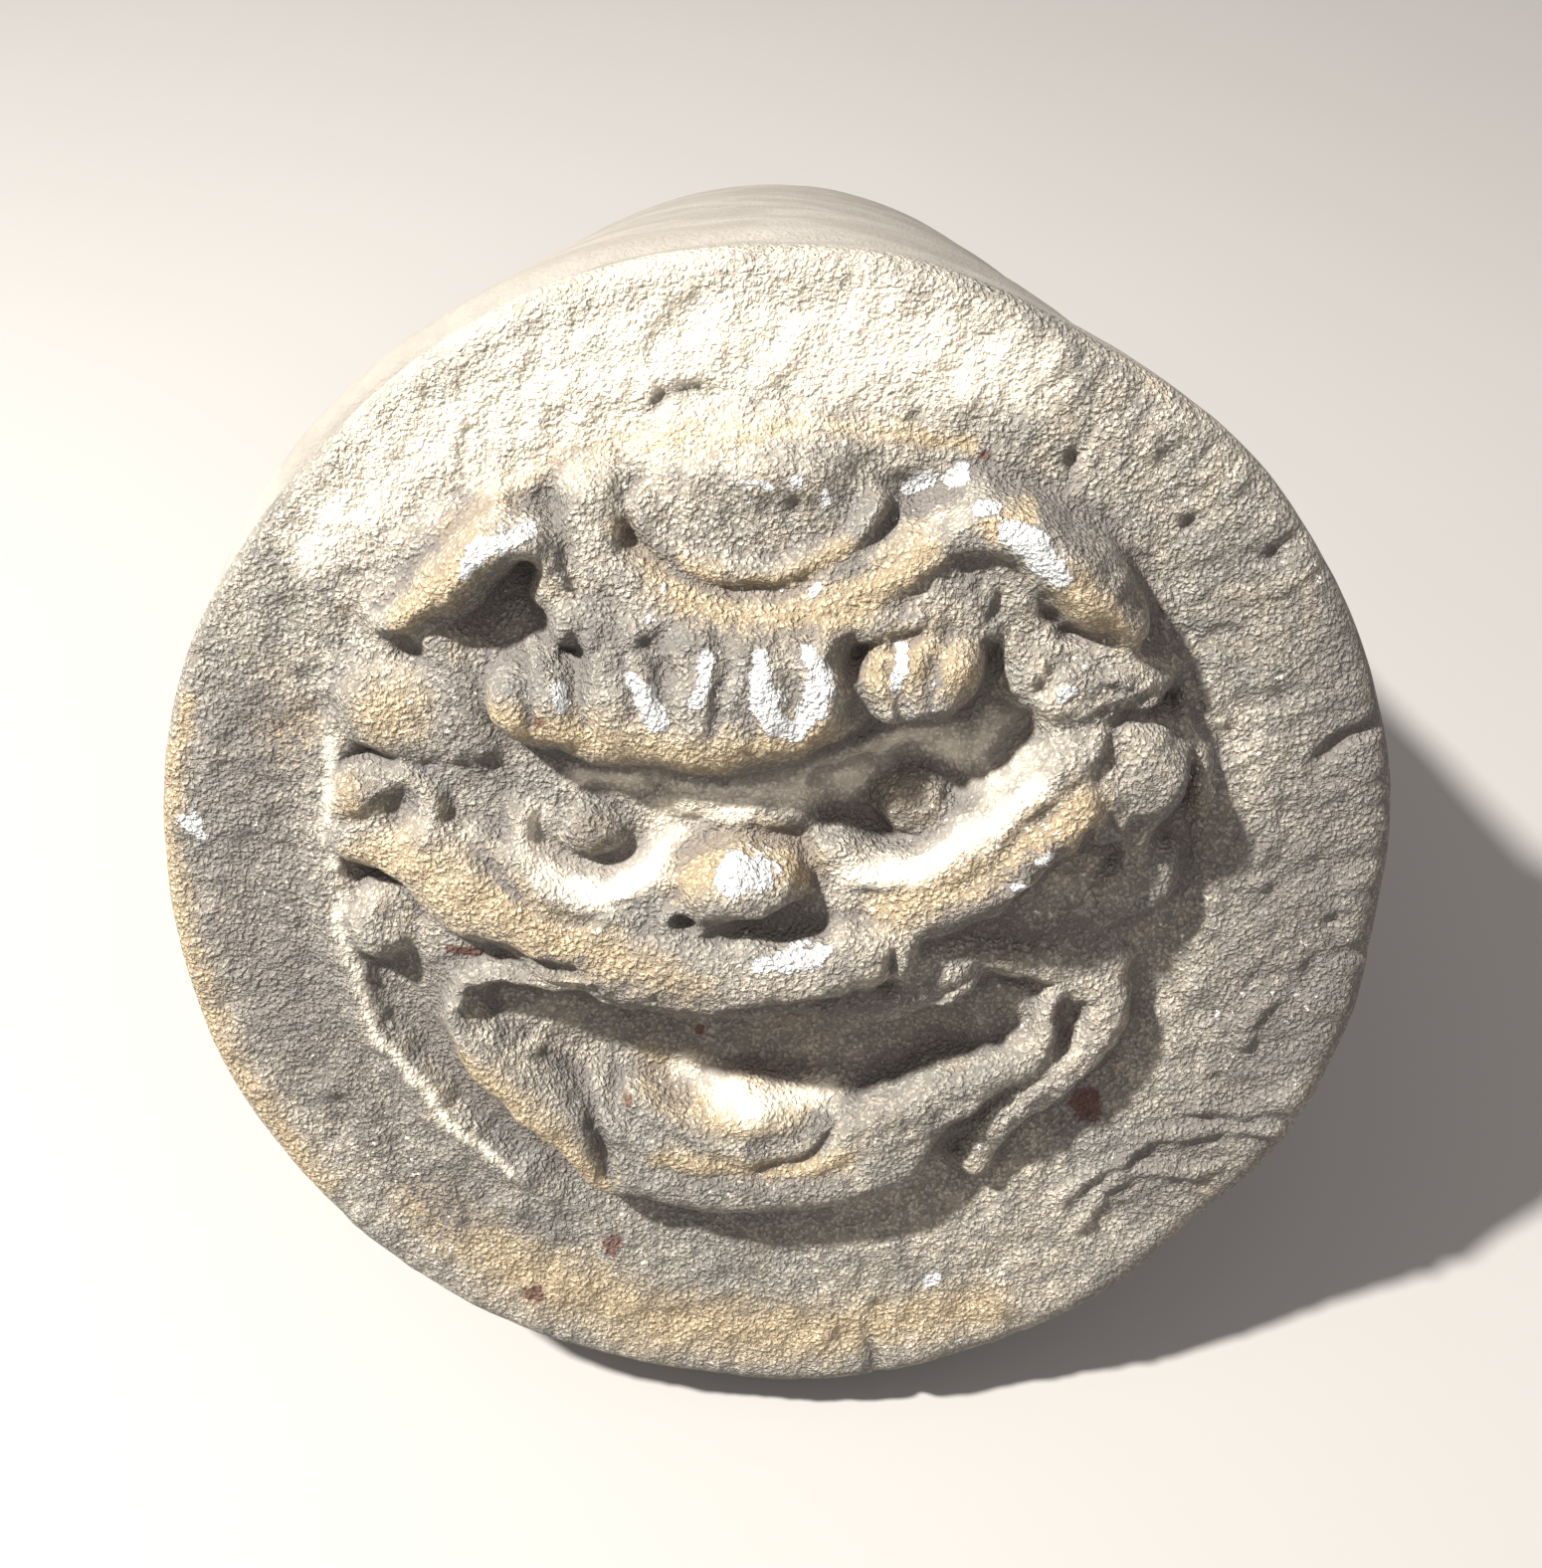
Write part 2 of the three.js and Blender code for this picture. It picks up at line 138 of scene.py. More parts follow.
def blurred(sheet, radius):
    keep = np.exp(-2 * (np.pi * FINENESS * radius) ** 2)
    return np.fft.irfft2(np.fft.rfft2(sheet) * keep, s=sheet.shape)


def lumps(size, seed):
    grains = np.random.default_rng(seed).standard_normal(clay.shape)
    sheet = blurred(grains, 0.22 * size) - blurred(grains, 0.44 * size)
    return sheet / sheet.std()


straight_u, straight_v = np.meshgrid(rule, rule)
U = straight_u + 0.25 * lumps(9.0, 11) + 0.13 * lumps(4.0, 12) + 0.06 * lumps(2.0, 13)
V = straight_v + 0.25 * lumps(9.0, 14) + 0.13 * lumps(4.0, 15) + 0.06 * lumps(2.0, 16)
print("edges wander by", (U - straight_u).std().round(2), "mm")

# %% [markdown]
# ## Brushes
# A stroke is a few rows of (u, v, level, half width). A smooth curve runs through them, and the
# clay near the curve moves towards the level. Four things can happen there: clay is added with a
# soft shoulder (ridge), added as a round coil (roll), pressed down to a level (trough), or scored
# with a line of some depth (score). Spots do the same on an oval: mound, boss and dish.

# %% Brushes
STEPS_PER_ROW = 6


def smooth_rows(rows):
    rows = np.array(rows, float)
    padded = np.vstack([2 * rows[0] - rows[1], rows, 2 * rows[-1] - rows[-2]])
    out = []
    for a, b, c, d in zip(padded[:-3], padded[1:-2], padded[2:-1], padded[3:]):
        for t in np.linspace(0, 1, STEPS_PER_ROW, endpoint=False):
            curve = 2 * b + (c - a) * t + (2 * a - 5 * b + 4 * c - d) * t**2
            out.append(0.5 * (curve + (3 * b - a - 3 * c + d) * t**3))
    return np.array(out + [rows[-1]])


def patch_round(line, pad):
    rows = (rule > line[:, 1].min() - pad) & (rule < line[:, 1].max() + pad)
    columns = (rule > line[:, 0].min() - pad) & (rule < line[:, 0].max() + pad)
    return np.ix_(np.flatnonzero(rows), np.flatnonzero(columns))


def nearest(line, u, v):
    best = np.full(u.shape, np.inf)
    level = np.zeros(u.shape)
    width = np.ones(u.shape)
    for a, b in zip(line[:-1], line[1:]):
        run = b[:2] - a[:2]
        t = np.clip(((u - a[0]) * run[0] + (v - a[1]) * run[1]) / max(run @ run, 1e-9), 0, 1)
        distance = np.hypot(u - a[0] - t * run[0], v - a[1] - t * run[1])
        closer = distance < best
        best = np.where(closer, distance, best)
        level = np.where(closer, a[2] + t * (b[2] - a[2]), level)
        width = np.where(closer, a[3] + t * (b[3] - a[3]), width)
    return best / width, level


def soft(x, flat):
    return 1 - ease((x - flat) / (1 - flat))


def coil(x, power):
    return np.sqrt(np.clip(1 - np.abs(x) ** power, 0, 1))


def lift(height, level, share):
    return height + np.maximum(level - height, 0) * share


def press(height, level, share):
    return height + np.minimum(level - height, 0) * share


def carve(height, depth, share):
    return height - depth * share


def stroke(change, profile, rows):
    line = smooth_rows(rows)
    patch = patch_round(line, line[:, 3].max() + 2)
    x, level = nearest(line, U[patch], V[patch])
    clay[patch] = change(clay[patch], level, profile(x))


def ridge(*rows, flat=0.2):
    stroke(lift, lambda x: soft(x, flat), rows)


def roll(*rows, power=2.0):
    stroke(lift, lambda x: coil(x, power), rows)


def trough(*rows, flat=0.3):
    stroke(press, lambda x: soft(x, flat), rows)


def score(*rows):
    stroke(carve, lambda x: soft(x, 0), rows)


def spot(change, profile, place, radii, level, turn=0.0):
    angle = math.radians(turn)
    du = U - place[0]
    dv = V - place[1]
    along = (du * math.cos(angle) + dv * math.sin(angle)) / radii[0]
    aside = (dv * math.cos(angle) - du * math.sin(angle)) / radii[1]
    clay[:] = change(clay, level, profile(np.hypot(along, aside)))


def mound(*where, turn=0.0, flat=0.2):
    spot(lift, lambda x: soft(x, flat), *where, turn)


def boss(*where, turn=0.0, power=2.0):
    spot(lift, lambda x: coil(x, power), *where, turn)


def dish(*where, turn=0.0, flat=0.3):
    spot(press, lambda x: soft(x, flat), *where, turn)


# %% [markdown]
# ## The field and the ring
# The mask sits in a sunk field inside a wide plain rim. A low bead rings the field on the left;
# on the right it has worn away. Low mounds give the head its bulk before any feature goes on.

# %% Field, ring and bulk
MASK_RADIUS = 47.0
MASK_HEIGHT = 0.8
FIELD_DEPTH = 1.0
from_mask = np.hypot(U, V - MASK_HEIGHT)
clay -= FIELD_DEPTH * (1 - ease((from_mask - 42.5) / 4.5))


def ring_row(degrees, level, half_width):
    angle = math.radians(degrees)
    return (MASK_RADIUS * math.cos(angle), MASK_HEIGHT + MASK_RADIUS * math.sin(angle), level, half_width)


ridge(ring_row(60, 0.2, 3), ring_row(85, 0.7, 3), ring_row(105, 0.8, 3), ring_row(125, 0.6, 3.2),
      ring_row(145, 0.8, 3.5), ring_row(160, 1.0, 3.6), ring_row(180, 1.2, 3.6),
      ring_row(200, 1.5, 3.2), ring_row(220, 1.4, 3.0), ring_row(238, 0.9, 2.6), flat=0.1)
mound((0, 4), (44, 40), 3.0, flat=0.78)
mound((-2, -8), (39, 33), 3.2, flat=0.72)
mound((0, 2), (30, 33), 5.6, flat=0.45)
print("bulk", clay.max().round(1), "mm high")

# %% [markdown]
# ## The crest
# A fan of hair rises between the ears, framed by a plain coil that hangs like a garland.

# %% Crest
mound((-1.5, 41), (17.5, 9.5), 4.6, flat=0.35)
mound((-17.0, 40.6), (5.0, 5.6), 5.0, turn=-20, flat=0.3)
mound((-18.4, 33.0), (5.0, 5.6), 6.4, flat=0.3)
ridge((-18.4, 39.6, 5.6, 3.4), (-15.2, 34.4, 6.8, 4.2), (-7, 30.6, 7.6, 4.8), (-1, 29.8, 8.0, 4.8),
      (4.4, 31, 8.0, 4.8), (9.6, 34, 7.8, 4.6), (15.2, 37.2, 7.8, 4.2), (20, 39.8, 8.4, 4.4))
trough((-16.4, 42, 5.2, 1.3), (-15.2, 39, 5.2, 1.5), (-13, 36, 5.5, 1.5), (-10.6, 34.2, 5.8, 1.4),
       (-6, 32.6, 6.4, 1.3), (0, 32.1, 6.8, 1.2), (4, 33, 6.9, 1.2), (9, 34.8, 6.6, 1.4),
       (12, 37.0, 6.6, 1.4), (14, 39.0, 6.6, 1.2), flat=0.0)
ridge((-12.6, 41.5, 4.9, 1.8), (-10.6, 37.6, 5.4, 2), (-7, 35.6, 6.0, 2), (-2, 34.8, 6.4, 2),
      (3, 35.2, 6.4, 2), (8, 38, 6.0, 2), (10, 41, 5.2, 1.8), flat=0.1)
for place, top, depth in [(-9.0, 42.6, 0.4), (-6.4, 40.8, 0.5), (-3.6, 40.2, 0.6), (-0.8, 39.8, 0.5),
                          (1.8, 40.2, 0.6), (4.4, 41, 0.5), (7.2, 42.6, 0.4)]:
    score((place, top + 2.6, 0.1, 1.1), (place, top, depth, 1.3), (place, top - 3.4, 0.1, 1.1))
mound((1.2, 43.6), (8, 2.4), 5.2, flat=0.1)
print("crest", clay[V > 30].max().round(1), "mm high")

# %% [markdown]
# ## Ears
# Each ear is a leaf folded forward: a coil for its lit edge and a scooped shell under it.

# %% Ears
ridge((-38, 31, 1.4, 5), (-32, 36, 2.8, 6), (-26, 40.4, 3.2, 5), flat=0.0)
roll((-38.8, 28.8, 3.0, 1.5), (-35.4, 30.2, 5.2, 2.5), (-31.8, 32.6, 7.2, 3.5), (-28.4, 35.6, 8.4, 3.8),
     (-25.2, 37.9, 9.0, 3.6), (-22.7, 37.3, 8.8, 2.8), (-21.7, 35, 7.8, 2.3), (-22, 32.4, 6.6, 2.0),
     power=1.7)
trough((-36.6, 26.0, 2.4, 1.8), (-33.4, 27.0, 2.8, 2.6), (-29.8, 28.8, 3.6, 3.0), (-27, 31.2, 4.6, 2.6),
       (-25.2, 33.6, 6.2, 1.7), flat=0.3)
roll((16.5, 38.0, 7.6, 2.2), (20.4, 39.4, 8.8, 2.8), (24.4, 38.2, 9.9, 3.8), (28.4, 35.2, 10.2, 4.5),
     (31.8, 32.2, 9.4, 4.6), (33.8, 30, 8, 3.4), power=1.9)
mound((19.4, 32.4), (8.5, 6), 6.9, flat=0.6)
trough((16.6, 35.4, 6.8, 1.2), (18.8, 35.8, 6.2, 1.7), (21.2, 34.0, 6.0, 2.2), (22.4, 30.4, 6.0, 2.2),
       flat=0.2)
print("ears", clay[(V > 28) & (np.abs(U) > 22)].max().round(1), "mm high")

# %% [markdown]
# ## Temples
# Behind the eyes the hair is only suggested: a low pad on the left, a ragged wad on the right. Low
# mounds that overlap make the wad, and one scored line parts it.

# %% Temples
boss((-38, 19.4), (6.0, 5.6), 4.2, power=1.8)
ridge((-33, 27, 3.6, 5), (-31, 22, 4, 4), (-31, 17, 4.4, 4), flat=0.1)
mound((31.5, 19.6), (7.5, 3.4), 6.4, flat=0.4)
mound((25.0, 28.4), (4.6, 3.6), 6.4, flat=0.4)
mound((31.0, 24.0), (11.0, 5.4), 6.9, flat=0.55)
for place, half_width, level in [((25.4, 25.0), 3.6, 7.5), ((29.2, 22.8), 4.6, 8.3), ((33.6, 24.2), 4.2, 7.6),
                                 ((37.0, 22.0), 3.6, 6.9)]:
    mound(place, (half_width, half_width * 0.8), level, flat=0.2)
score((24.4, 22.6, 0.3, 0.9), (27.4, 25.4, 0.8, 1.0), (31.0, 26.8, 0.8, 1.0), (35.6, 25.4, 0.3, 0.9))
print("right temple", clay[np.hypot(U - 31, V - 24) < 6].max().round(1), "mm high")

# %% [markdown]
# ## The brow
# The brow is one heavy coil that hangs over the eyes. Locks of hair are modelled across it: low
# ridges with scored partings between them, and a separate lobe over the right eye.

# %% Brow
ridge((-19, 29.6, 8.6, 3.4), (-12, 28.6, 9.2, 3.4), (-4, 27.6, 10, 3.2), (4, 28.2, 9.8, 3.2),
      (12, 30.4, 8.6, 3.2), (18, 30.6, 7.2, 3.2), flat=0.3)
roll((-24.6, 21.4, 8.8, 3.8), (-20, 21.4, 10.2, 5.4), (-14, 21.4, 11.4, 6.4), (-7, 21.5, 12.4, 6.9),
     (0, 21.8, 12.8, 6.9), (4.4, 23.2, 12.2, 5.6), power=2.6)
boss((14.4, 24.4), (6.9, 4.8), 11.4, turn=8, power=3.6)
boss((-25, 22.6), (3.2, 3.4), 9.8)
for lock in [
    [(-22.4, 26.6, 8.7, 2.2), (-21.4, 23.4, 10.5, 2.5), (-20.8, 20.6, 9.3, 2.2)],
    [(-16.6, 27.4, 9.7, 3.3), (-15.4, 24.4, 11.6, 4.0), (-13.2, 21.2, 11.3, 3.7), (-10.6, 18.8, 10.5, 2.6)],
    [(-7, 28.2, 10.9, 2.4), (-6.2, 25, 12.3, 2.4), (-6.9, 21.4, 12.1, 2.6)],
    [(-3.4, 28, 11.3, 2.2), (-3.4, 24.4, 12.7, 2.4), (-3.8, 21, 12.1, 2.4)],
    [(-0.6, 27.4, 11.7, 2.2), (-0.2, 23.6, 13.1, 2.4), (1.2, 19.8, 12.5, 2.6), (3.6, 21, 12.7, 2.4),
     (5.2, 24, 12.9, 2.4), (4.4, 27.4, 11.7, 2.4)],
]:
    ridge(*lock, flat=0.1)
for parting in [
    [(-24, 26, 0.7, 1.4), (-23.1, 23.2, 1.3, 1.4), (-22.8, 20.6, 0.8, 1.3)],
    [(-19.4, 28.4, 1.2, 1.7), (-19.2, 25.4, 2.2, 1.8), (-18.3, 22.2, 1.9, 1.7), (-16.8, 19.2, 0.8, 1.5)],
    [(-10.6, 29, 1.2, 1.7), (-9.9, 26, 2.0, 1.8), (-10.2, 23.4, 1.6, 1.6), (-9.2, 20.6, 0.7, 1.4)],
    [(-14.2, 27.2, 0.6, 1.1), (-13.2, 24.6, 1.0, 1.2), (-13.6, 22.0, 0.5, 1.1)],
    [(-4.8, 28.4, 0.9, 1.3), (-4.8, 24.6, 1.2, 1.4), (-5.4, 20.8, 0.5, 1.3)],
    [(-1.9, 27.8, 0.7, 1.3), (-1.8, 24, 0.8, 1.3), (-1.4, 20.4, 0.3, 1.3)],
    [(2.2, 27, 0.6, 1.4), (2.3, 24, 0.8, 1.3), (2.4, 22, 0.2, 1.1)],
    [(7.2, 29.4, 1.5, 2.1), (8, 26, 2.1, 2.2), (8.5, 22.6, 2.1, 2.3), (7.8, 19.6, 1.3, 2.1)],
    [(13.4, 29.0, 1.2, 1.5), (11.6, 26.0, 1.9, 1.6), (12.6, 21.6, 1.2, 1.5)],
    [(16.8, 29, 0.8, 1.3), (15.4, 26.6, 1.3, 1.3), (15.8, 23.6, 0.8, 1.2)],
]:
    score(*parting)
print("brow", clay[(V > 18) & (V < 30)].max().round(1), "mm high")

# %% [markdown]
# ## Eyes
# Round eyeballs sit in wide sockets. The sockets are pressed first, then the balls set in them.
# The bridge of the nose runs down between them, and a lower lid is laid round the left one.

# %% Eyes
trough((-23.6, 9.6, 4.6, 2.8), (-18, 8.6, 3.4, 6.0), (-12, 10.2, 4.2, 4.2), (-6, 12.6, 5.4, 3), flat=0.6)
trough((5, 12.4, 3.8, 2.6), (9, 11.4, 2.6, 5.2), (14, 11.8, 2.2, 6.2), (19, 14.4, 3.0, 5.2),
       (23, 18, 4.2, 3.4), flat=0.66)
boss((-18.2, 7.9), (3.4, 3.3), 6.6)
boss((14.2, 10.8), (3.6, 3.5), 6.2)
dish((14.4, 11.2), (1.8, 1.5), 5.6, flat=0.1)
ridge((-8, 12.8, 6.6, 4.2), (-3, 11.4, 7.6, 5.4), (2, 11.2, 7.2, 3.8))
ridge((-25.8, 9.6, 5.6, 2.0), (-24.6, 5.2, 6.8, 2.4), (-20, 1.9, 8, 2.8), (-15, 1.5, 8.6, 3.0),
      (-11, 3.4, 9, 3.4), flat=0.15)
print("eyeballs", clay[np.hypot(U + 18.2, V - 7.9) < 2].max().round(1), "mm high on the left,",
      clay[np.hypot(U - 14.2, V - 10.8) < 3].max().round(1), "mm on the right")

# %% [markdown]
# ## Muzzle and cheeks
# The muzzle is a broad low swelling. On the left a single band of clay sweeps back from it to the
# curls; on the right two bands run up beside the eye, with a groove between them.

# %% Muzzle and cheeks
mound((-2, -4.0), (23, 11), 9.6, flat=0.4)
roll((-43, 5.0, 3.4, 2.6), (-38.4, 4.4, 5.0, 4.2), (-33.6, 3.0, 6.8, 5.8), (-28.6, 0.6, 8.2, 6.2),
     (-23.6, -2.0, 9.2, 5.6), (-18, -3.2, 9.8, 5.0), power=2.8)
ridge((6, 6.6, 8.6, 3.4), (10.4, 4.2, 9.4, 4.0), (15.4, 4.4, 9.8, 4.2), (20, 7.6, 10.2, 4.6),
      (24, 12, 10.4, 5.0), (28, 15.6, 10.2, 4.8), (31.4, 16.6, 9.2, 4.0), flat=0.1)
roll((10.6, -0.6, 9.4, 2.8), (15, 0.2, 10.4, 3.4), (20.4, 2.8, 11.2, 3.8), (25, 6.4, 11.6, 4.2),
     (29, 10, 11.4, 4.5), (31.8, 12, 10.4, 4.0), (33.4, 9.4, 8.8, 3.2), power=1.9)
score((-34, 9.4, 0.4, 1.1), (-31.8, 7.6, 1.0, 1.2), (-29.4, 4.8, 1.4, 1.2), (-27.0, 2.0, 1.0, 1.2),
      (-23, -0.4, 0.7, 1.2), (-19.4, -0.6, 1.0, 1.1), (-16, 0.8, 0.9, 1.0), (-12, 1.4, 0.4, 1.0))
score((16.6, 3.0, 0.4, 1.0), (21.4, 6.0, 0.6, 1.2), (25, 10.0, 0.7, 1.3), (28.8, 13.6, 0.5, 1.2),
      (31.4, 15.2, 0.3, 1.0))
mound((24.6, 4.6), (2.2, 1.6), 12.2, turn=35)
mound((27.6, 7.4), (1.6, 2.4), 12.4, turn=20)
print("right cheek", clay[np.hypot(U - 26, V - 7) < 6].max().round(1), "mm high")

# %% [markdown]
# ## Nose
# A blunt snout with a small pierced wing on the left, and a deep shadow line under it that parts it
# from the lip.

# %% Nose
boss((-2.7, 3.7), (7.2, 4.2), 13.6, power=2.1)
boss((-8.4, 0.4), (3.0, 2.2), 11)
dish((-9.0, -0.2), (1.5, 1.1), 8.0)
trough((-4, -1.0, 9.4, 1.8), (0, -1.2, 8.2, 3.0), (4, 0.2, 7.8, 3.4), (7.4, 0.8, 8.2, 2.8), flat=0.4)
print("nose", clay[np.hypot(U + 2.7, V - 3.7) < 7].max().round(1), "mm high")

# %% [markdown]
# ## The open mouth
# The upper lip stands far over the mouth and its underside falls away in soft steps, which leaves
# the mouth in shade. A slanting groove with a ridge below it makes the corner on the left, and a
# notch ends the lip on the right.

# %% Upper lip and mouth
roll((-22, -5.8, 9.0, 3.2), (-18, -5.8, 9.8, 3.8), (-13, -6.4, 10.8, 4.2), (-8, -6.4, 11.6, 4.4),
     (-2, -5.8, 12.4, 4.0), (3, -5.0, 12.6, 3.8), (7.4, -4.4, 12.2, 3.6), (12, -4.0, 11.8, 3.4), power=2.6)
ridge((12.5, -5.4, 9.0, 3.2), (18, -6.4, 7.2, 3.6), (24, -7.6, 5.6, 3.6), (29.4, -8.0, 4.4, 3.4),
      (33.6, -10.8, 3.8, 3.0), flat=0.2)
trough((-29, -13.0, 1.8, 3), (-22, -15.4, 0.8, 5.2), (-14, -17.2, -0.2, 6.2), (-6, -18.2, -0.6, 6.6),
       (3, -18.4, -0.6, 6.6), (12, -17.4, -0.4, 6.4), (20, -15.0, 1.0, 5.6), (27, -12.4, 2.0, 4), flat=0.6)
roll((-18, -8.2, 8.0, 2.8), (-11, -9.6, 8.6, 3.6), (-3, -10.0, 9.2, 4.2), (5, -9.6, 9.2, 4.4),
     (12, -8.8, 8.6, 3.8), (18, -8, 7.6, 2.6))
ridge((-19, -11.6, 4.6, 2.2), (-10, -13.4, 5.2, 2.8), (-2, -14.2, 5.4, 3.2), (6, -14.0, 5.4, 3.2),
      (13, -12.6, 5.2, 2.8), (18, -10.8, 4.8, 2.2))
score((-16, -10.4, 0.4, 0.8), (-6, -11.8, 0.8, 0.9), (4, -11.8, 0.8, 0.9), (13, -10.4, 0.4, 0.8))
score((-13, -12.4, 0.4, 0.8), (-4, -13.6, 0.7, 0.9), (5, -13.4, 0.6, 0.9))
trough((-35.5, -10.6, 3.2, 2.0), (-30.2, -5.8, 4.4, 1.8), (-25, -5.4, 6.4, 1.4), (-20, -6.4, 8.2, 1.0),
       flat=0.2)
ridge((-33, -10.2, 5.0, 1.8), (-28, -8.6, 6.4, 1.8), (-22, -8.4, 7.8, 2.2), (-17, -9.8, 8.2, 2.4), flat=0.2)
score((12.4, -2.6, 1.4, 1.1), (12.6, -5, 2.4, 1.4), (12.2, -8, 1.4, 1.2))
score((21, -8.6, 0.8, 1.2), (24.4, -9.2, 1.6, 1.5), (26.8, -10.6, 1.0, 1.3))
ridge((12.6, -8.6, 8.0, 1.8), (16.4, -9.6, 7.6, 1.9), (20.6, -9.6, 7.0, 1.6), flat=0.2)
print("mouth", clay[np.hypot(U, V + 18) < 3].min().round(1), "mm deep down")

# %% [markdown]
# ## Jaw
# The lower jaw is a bowl: the tongue slopes up out of the mouth, which a height that eases along v
# says in one line. Round it broad coils close the mask, with strands of beard laid beside them on
# the right and a trench outside them on the left.

# %% Lower jaw
MOUTH_FLOOR = -0.6
TONGUE_RISE = 6.2
TONGUE_SLOPE = 9.0

back_of_tongue = -21.9 + 0.0100 * (U + 3) ** 2
bowl = MOUTH_FLOOR + TONGUE_RISE * ease((back_of_tongue - V) / TONGUE_SLOPE)
inside = soft(np.hypot((U + 1) / 28, (V + 23) / 11.5), 0.7)
clay[:] = clay + (bowl - clay) * inside
ridge((-33.4, -10.6, 5.2, 2.4), (-33.2, -15, 5.8, 3.6), (-30.4, -19.6, 6.4, 5.0), (-26, -24.2, 6.6, 5.6),
      (-21.6, -29, 6.4, 5.6), (-18.4, -33, 5.6, 4.6), flat=0.15)
roll((-19, -33.4, 5.2, 3.4), (-12, -34.6, 5.6, 4.0), (-2, -35.2, 6.0, 4.4), (7, -34, 6.0, 4.4),
     (13.6, -31.2, 5.8, 4.0), (15.6, -28.4, 5.6, 3.0), power=2.2)
roll((8, -28.6, 5.8, 3.0), (14, -25.4, 6.3, 3.4), (20, -22.6, 6.0, 3.0), (24.5, -20.6, 5.4, 2.4),
     (28.0, -18.6, 5.0, 1.9), (29.4, -15.4, 5.2, 1.6), (30.0, -11.4, 5.0, 1.2), power=2.4)
roll((-14.8, -24.6, 4.8, 2.2), (-11.4, -27.8, 5.4, 2.8), (-7, -30.4, 5.8, 3.0), (-1.6, -31.4, 6.0, 2.8))
mound((-2.6, -26.6), (9.5, 4.6), 5.8, flat=0.1)
score((-15.6, -23.4, 0.5, 1.2), (-12.4, -27.4, 0.8, 1.3), (-7, -30.8, 0.9, 1.2), (-1.6, -32.2, 1.3, 1.2),
      (4, -30.4, 1.7, 1.2), (7.6, -26.6, 1.5, 1.2), (10.4, -22.6, 0.8, 1.0))
score((-25, -19.2, 0.9, 1.2), (-21, -23.4, 1.8, 1.4), (-18.6, -28, 1.9, 1.4), (-17.6, -33, 1.2, 1.3))
score((-12, -32.6, 0.5, 1.0), (-4, -33.4, 0.9, 1.0), (4, -33.0, 0.8, 1.0), (10, -30.6, 0.4, 1.0))
score((-17.6, -21.6, 0.5, 1.0), (-16.4, -25, 0.9, 1.1), (-13.6, -28.4, 0.8, 1.1))
roll((34.6, -6, 3.0, 2.0), (35.8, -11, 4.2, 2.8), (35.6, -16, 4.8, 3.2), (32.0, -20.6, 4.8, 3.4),
     (28.0, -24.4, 4.4, 3.2), (24.6, -28.4, 3.8, 2.8), (22.4, -33.4, 2.8, 2.2), power=2.2)
trough((25.6, -23.6, 3.0, 0.9), (22.4, -26.2, 2.2, 1.4), (19.8, -29.6, 1.4, 1.8), (18.6, -35, 0.2, 2.0),
       flat=0.3)
trough((31.0, -12.6, 2.6, 1.0), (31.9, -16.2, 2.2, 1.2), (31.0, -18.8, 3.2, 0.8), flat=0.2)
mound((24.6, -27.6), (2.0, 1.6), 4.2)
trough((-31, -7.6, 3.0, 1.6), (-35, -8.8, 2.6, 2.4), (-37.6, -12.4, 2.0, 2.8), (-38, -16.4, 1.8, 3.0),
       (-36.6, -21, 1.0, 2.4), (-32.6, -28.2, 0.6, 2.2), (-26, -34.2, 0.0, 2.2), (-20, -38, -0.6, 2),
       flat=0.1)
score((-32.0, -11.2, 0.9, 1.0), (-32.0, -14.6, 1.0, 1.1), (-29.4, -17.8, 0.6, 1.0))
print("mask", clay.max().round(1), "mm high")

# %% [markdown]
# ## Curls
# Small curls of mane fill the edge of the field: spirals on the left, round knobs on the right.

# %% Curls
boss((-40.4, 9.0), (5.8, 5.6), 4.0, power=3.0)
dish((-38.4, 9.6), (2.7, 3.6), 2.0, flat=0.2)
mound((-42.8, 10.8), (2.6, 2.6), 4.6, flat=0.3)
score((-44.8, 8.0, 0.4, 0.8), (-42.6, 8.6, 0.7, 0.8), (-41.2, 10.2, 0.5, 0.8))
score((-44.6, 13.4, 0.3, 0.9), (-41.2, 14.8, 0.9, 1.0), (-37.4, 14.2, 0.7, 1.0))
ridge((-37.6, 13.6, 4.4, 1.6), (-35.0, 10.6, 5.4, 1.8), (-34.6, 7.4, 6.4, 2.0), flat=0.1)
mound((-41.6, -4.6), (4.8, 5.6), 3.2, flat=0.4)
dish((-40.0, -2.6), (2.4, 2.8), 1.8, flat=0.1)
mound((-42.4, -5.8), (2.4, 2.8), 3.6, flat=0.2)
score((-45.4, 1.0, 0.5, 1.0), (-41.6, 1.0, 1.1, 1.1), (-38.0, -0.6, 1.0, 1.1), (-37.4, -4.4, 0.4, 1.0))
boss((37.8, 14.2), (5.0, 6.2), 8.4, turn=10, power=2.6)
score((35.2, 20.4, 0.8, 1.0), (32.8, 17.6, 1.2, 1.1), (32.4, 13.4, 1.3, 1.1), (34.4, 9.6, 1.0, 1.1))
score((35.4, 20.6, 0.8, 1.0), (39.4, 20.4, 1.2, 1.0), (42.4, 17.0, 1.2, 1.0), (42.6, 12.6, 0.8, 1.0))
mound((36.6, 7.6), (3.8, 3.6), 6.2, flat=0.3)
ridge((41.2, 18.6, 2.8, 1.6), (43.8, 14.6, 2.6, 1.7), (44.8, 9.6, 2.0, 1.7), flat=0.1)
score((42.2, 16.6, 0.8, 0.8), (43.2, 12.4, 0.9, 0.8), (42.6, 9.4, 0.6, 0.8))
boss((38.2, 1.4), (4.6, 4.8), 4.6, power=2.6)
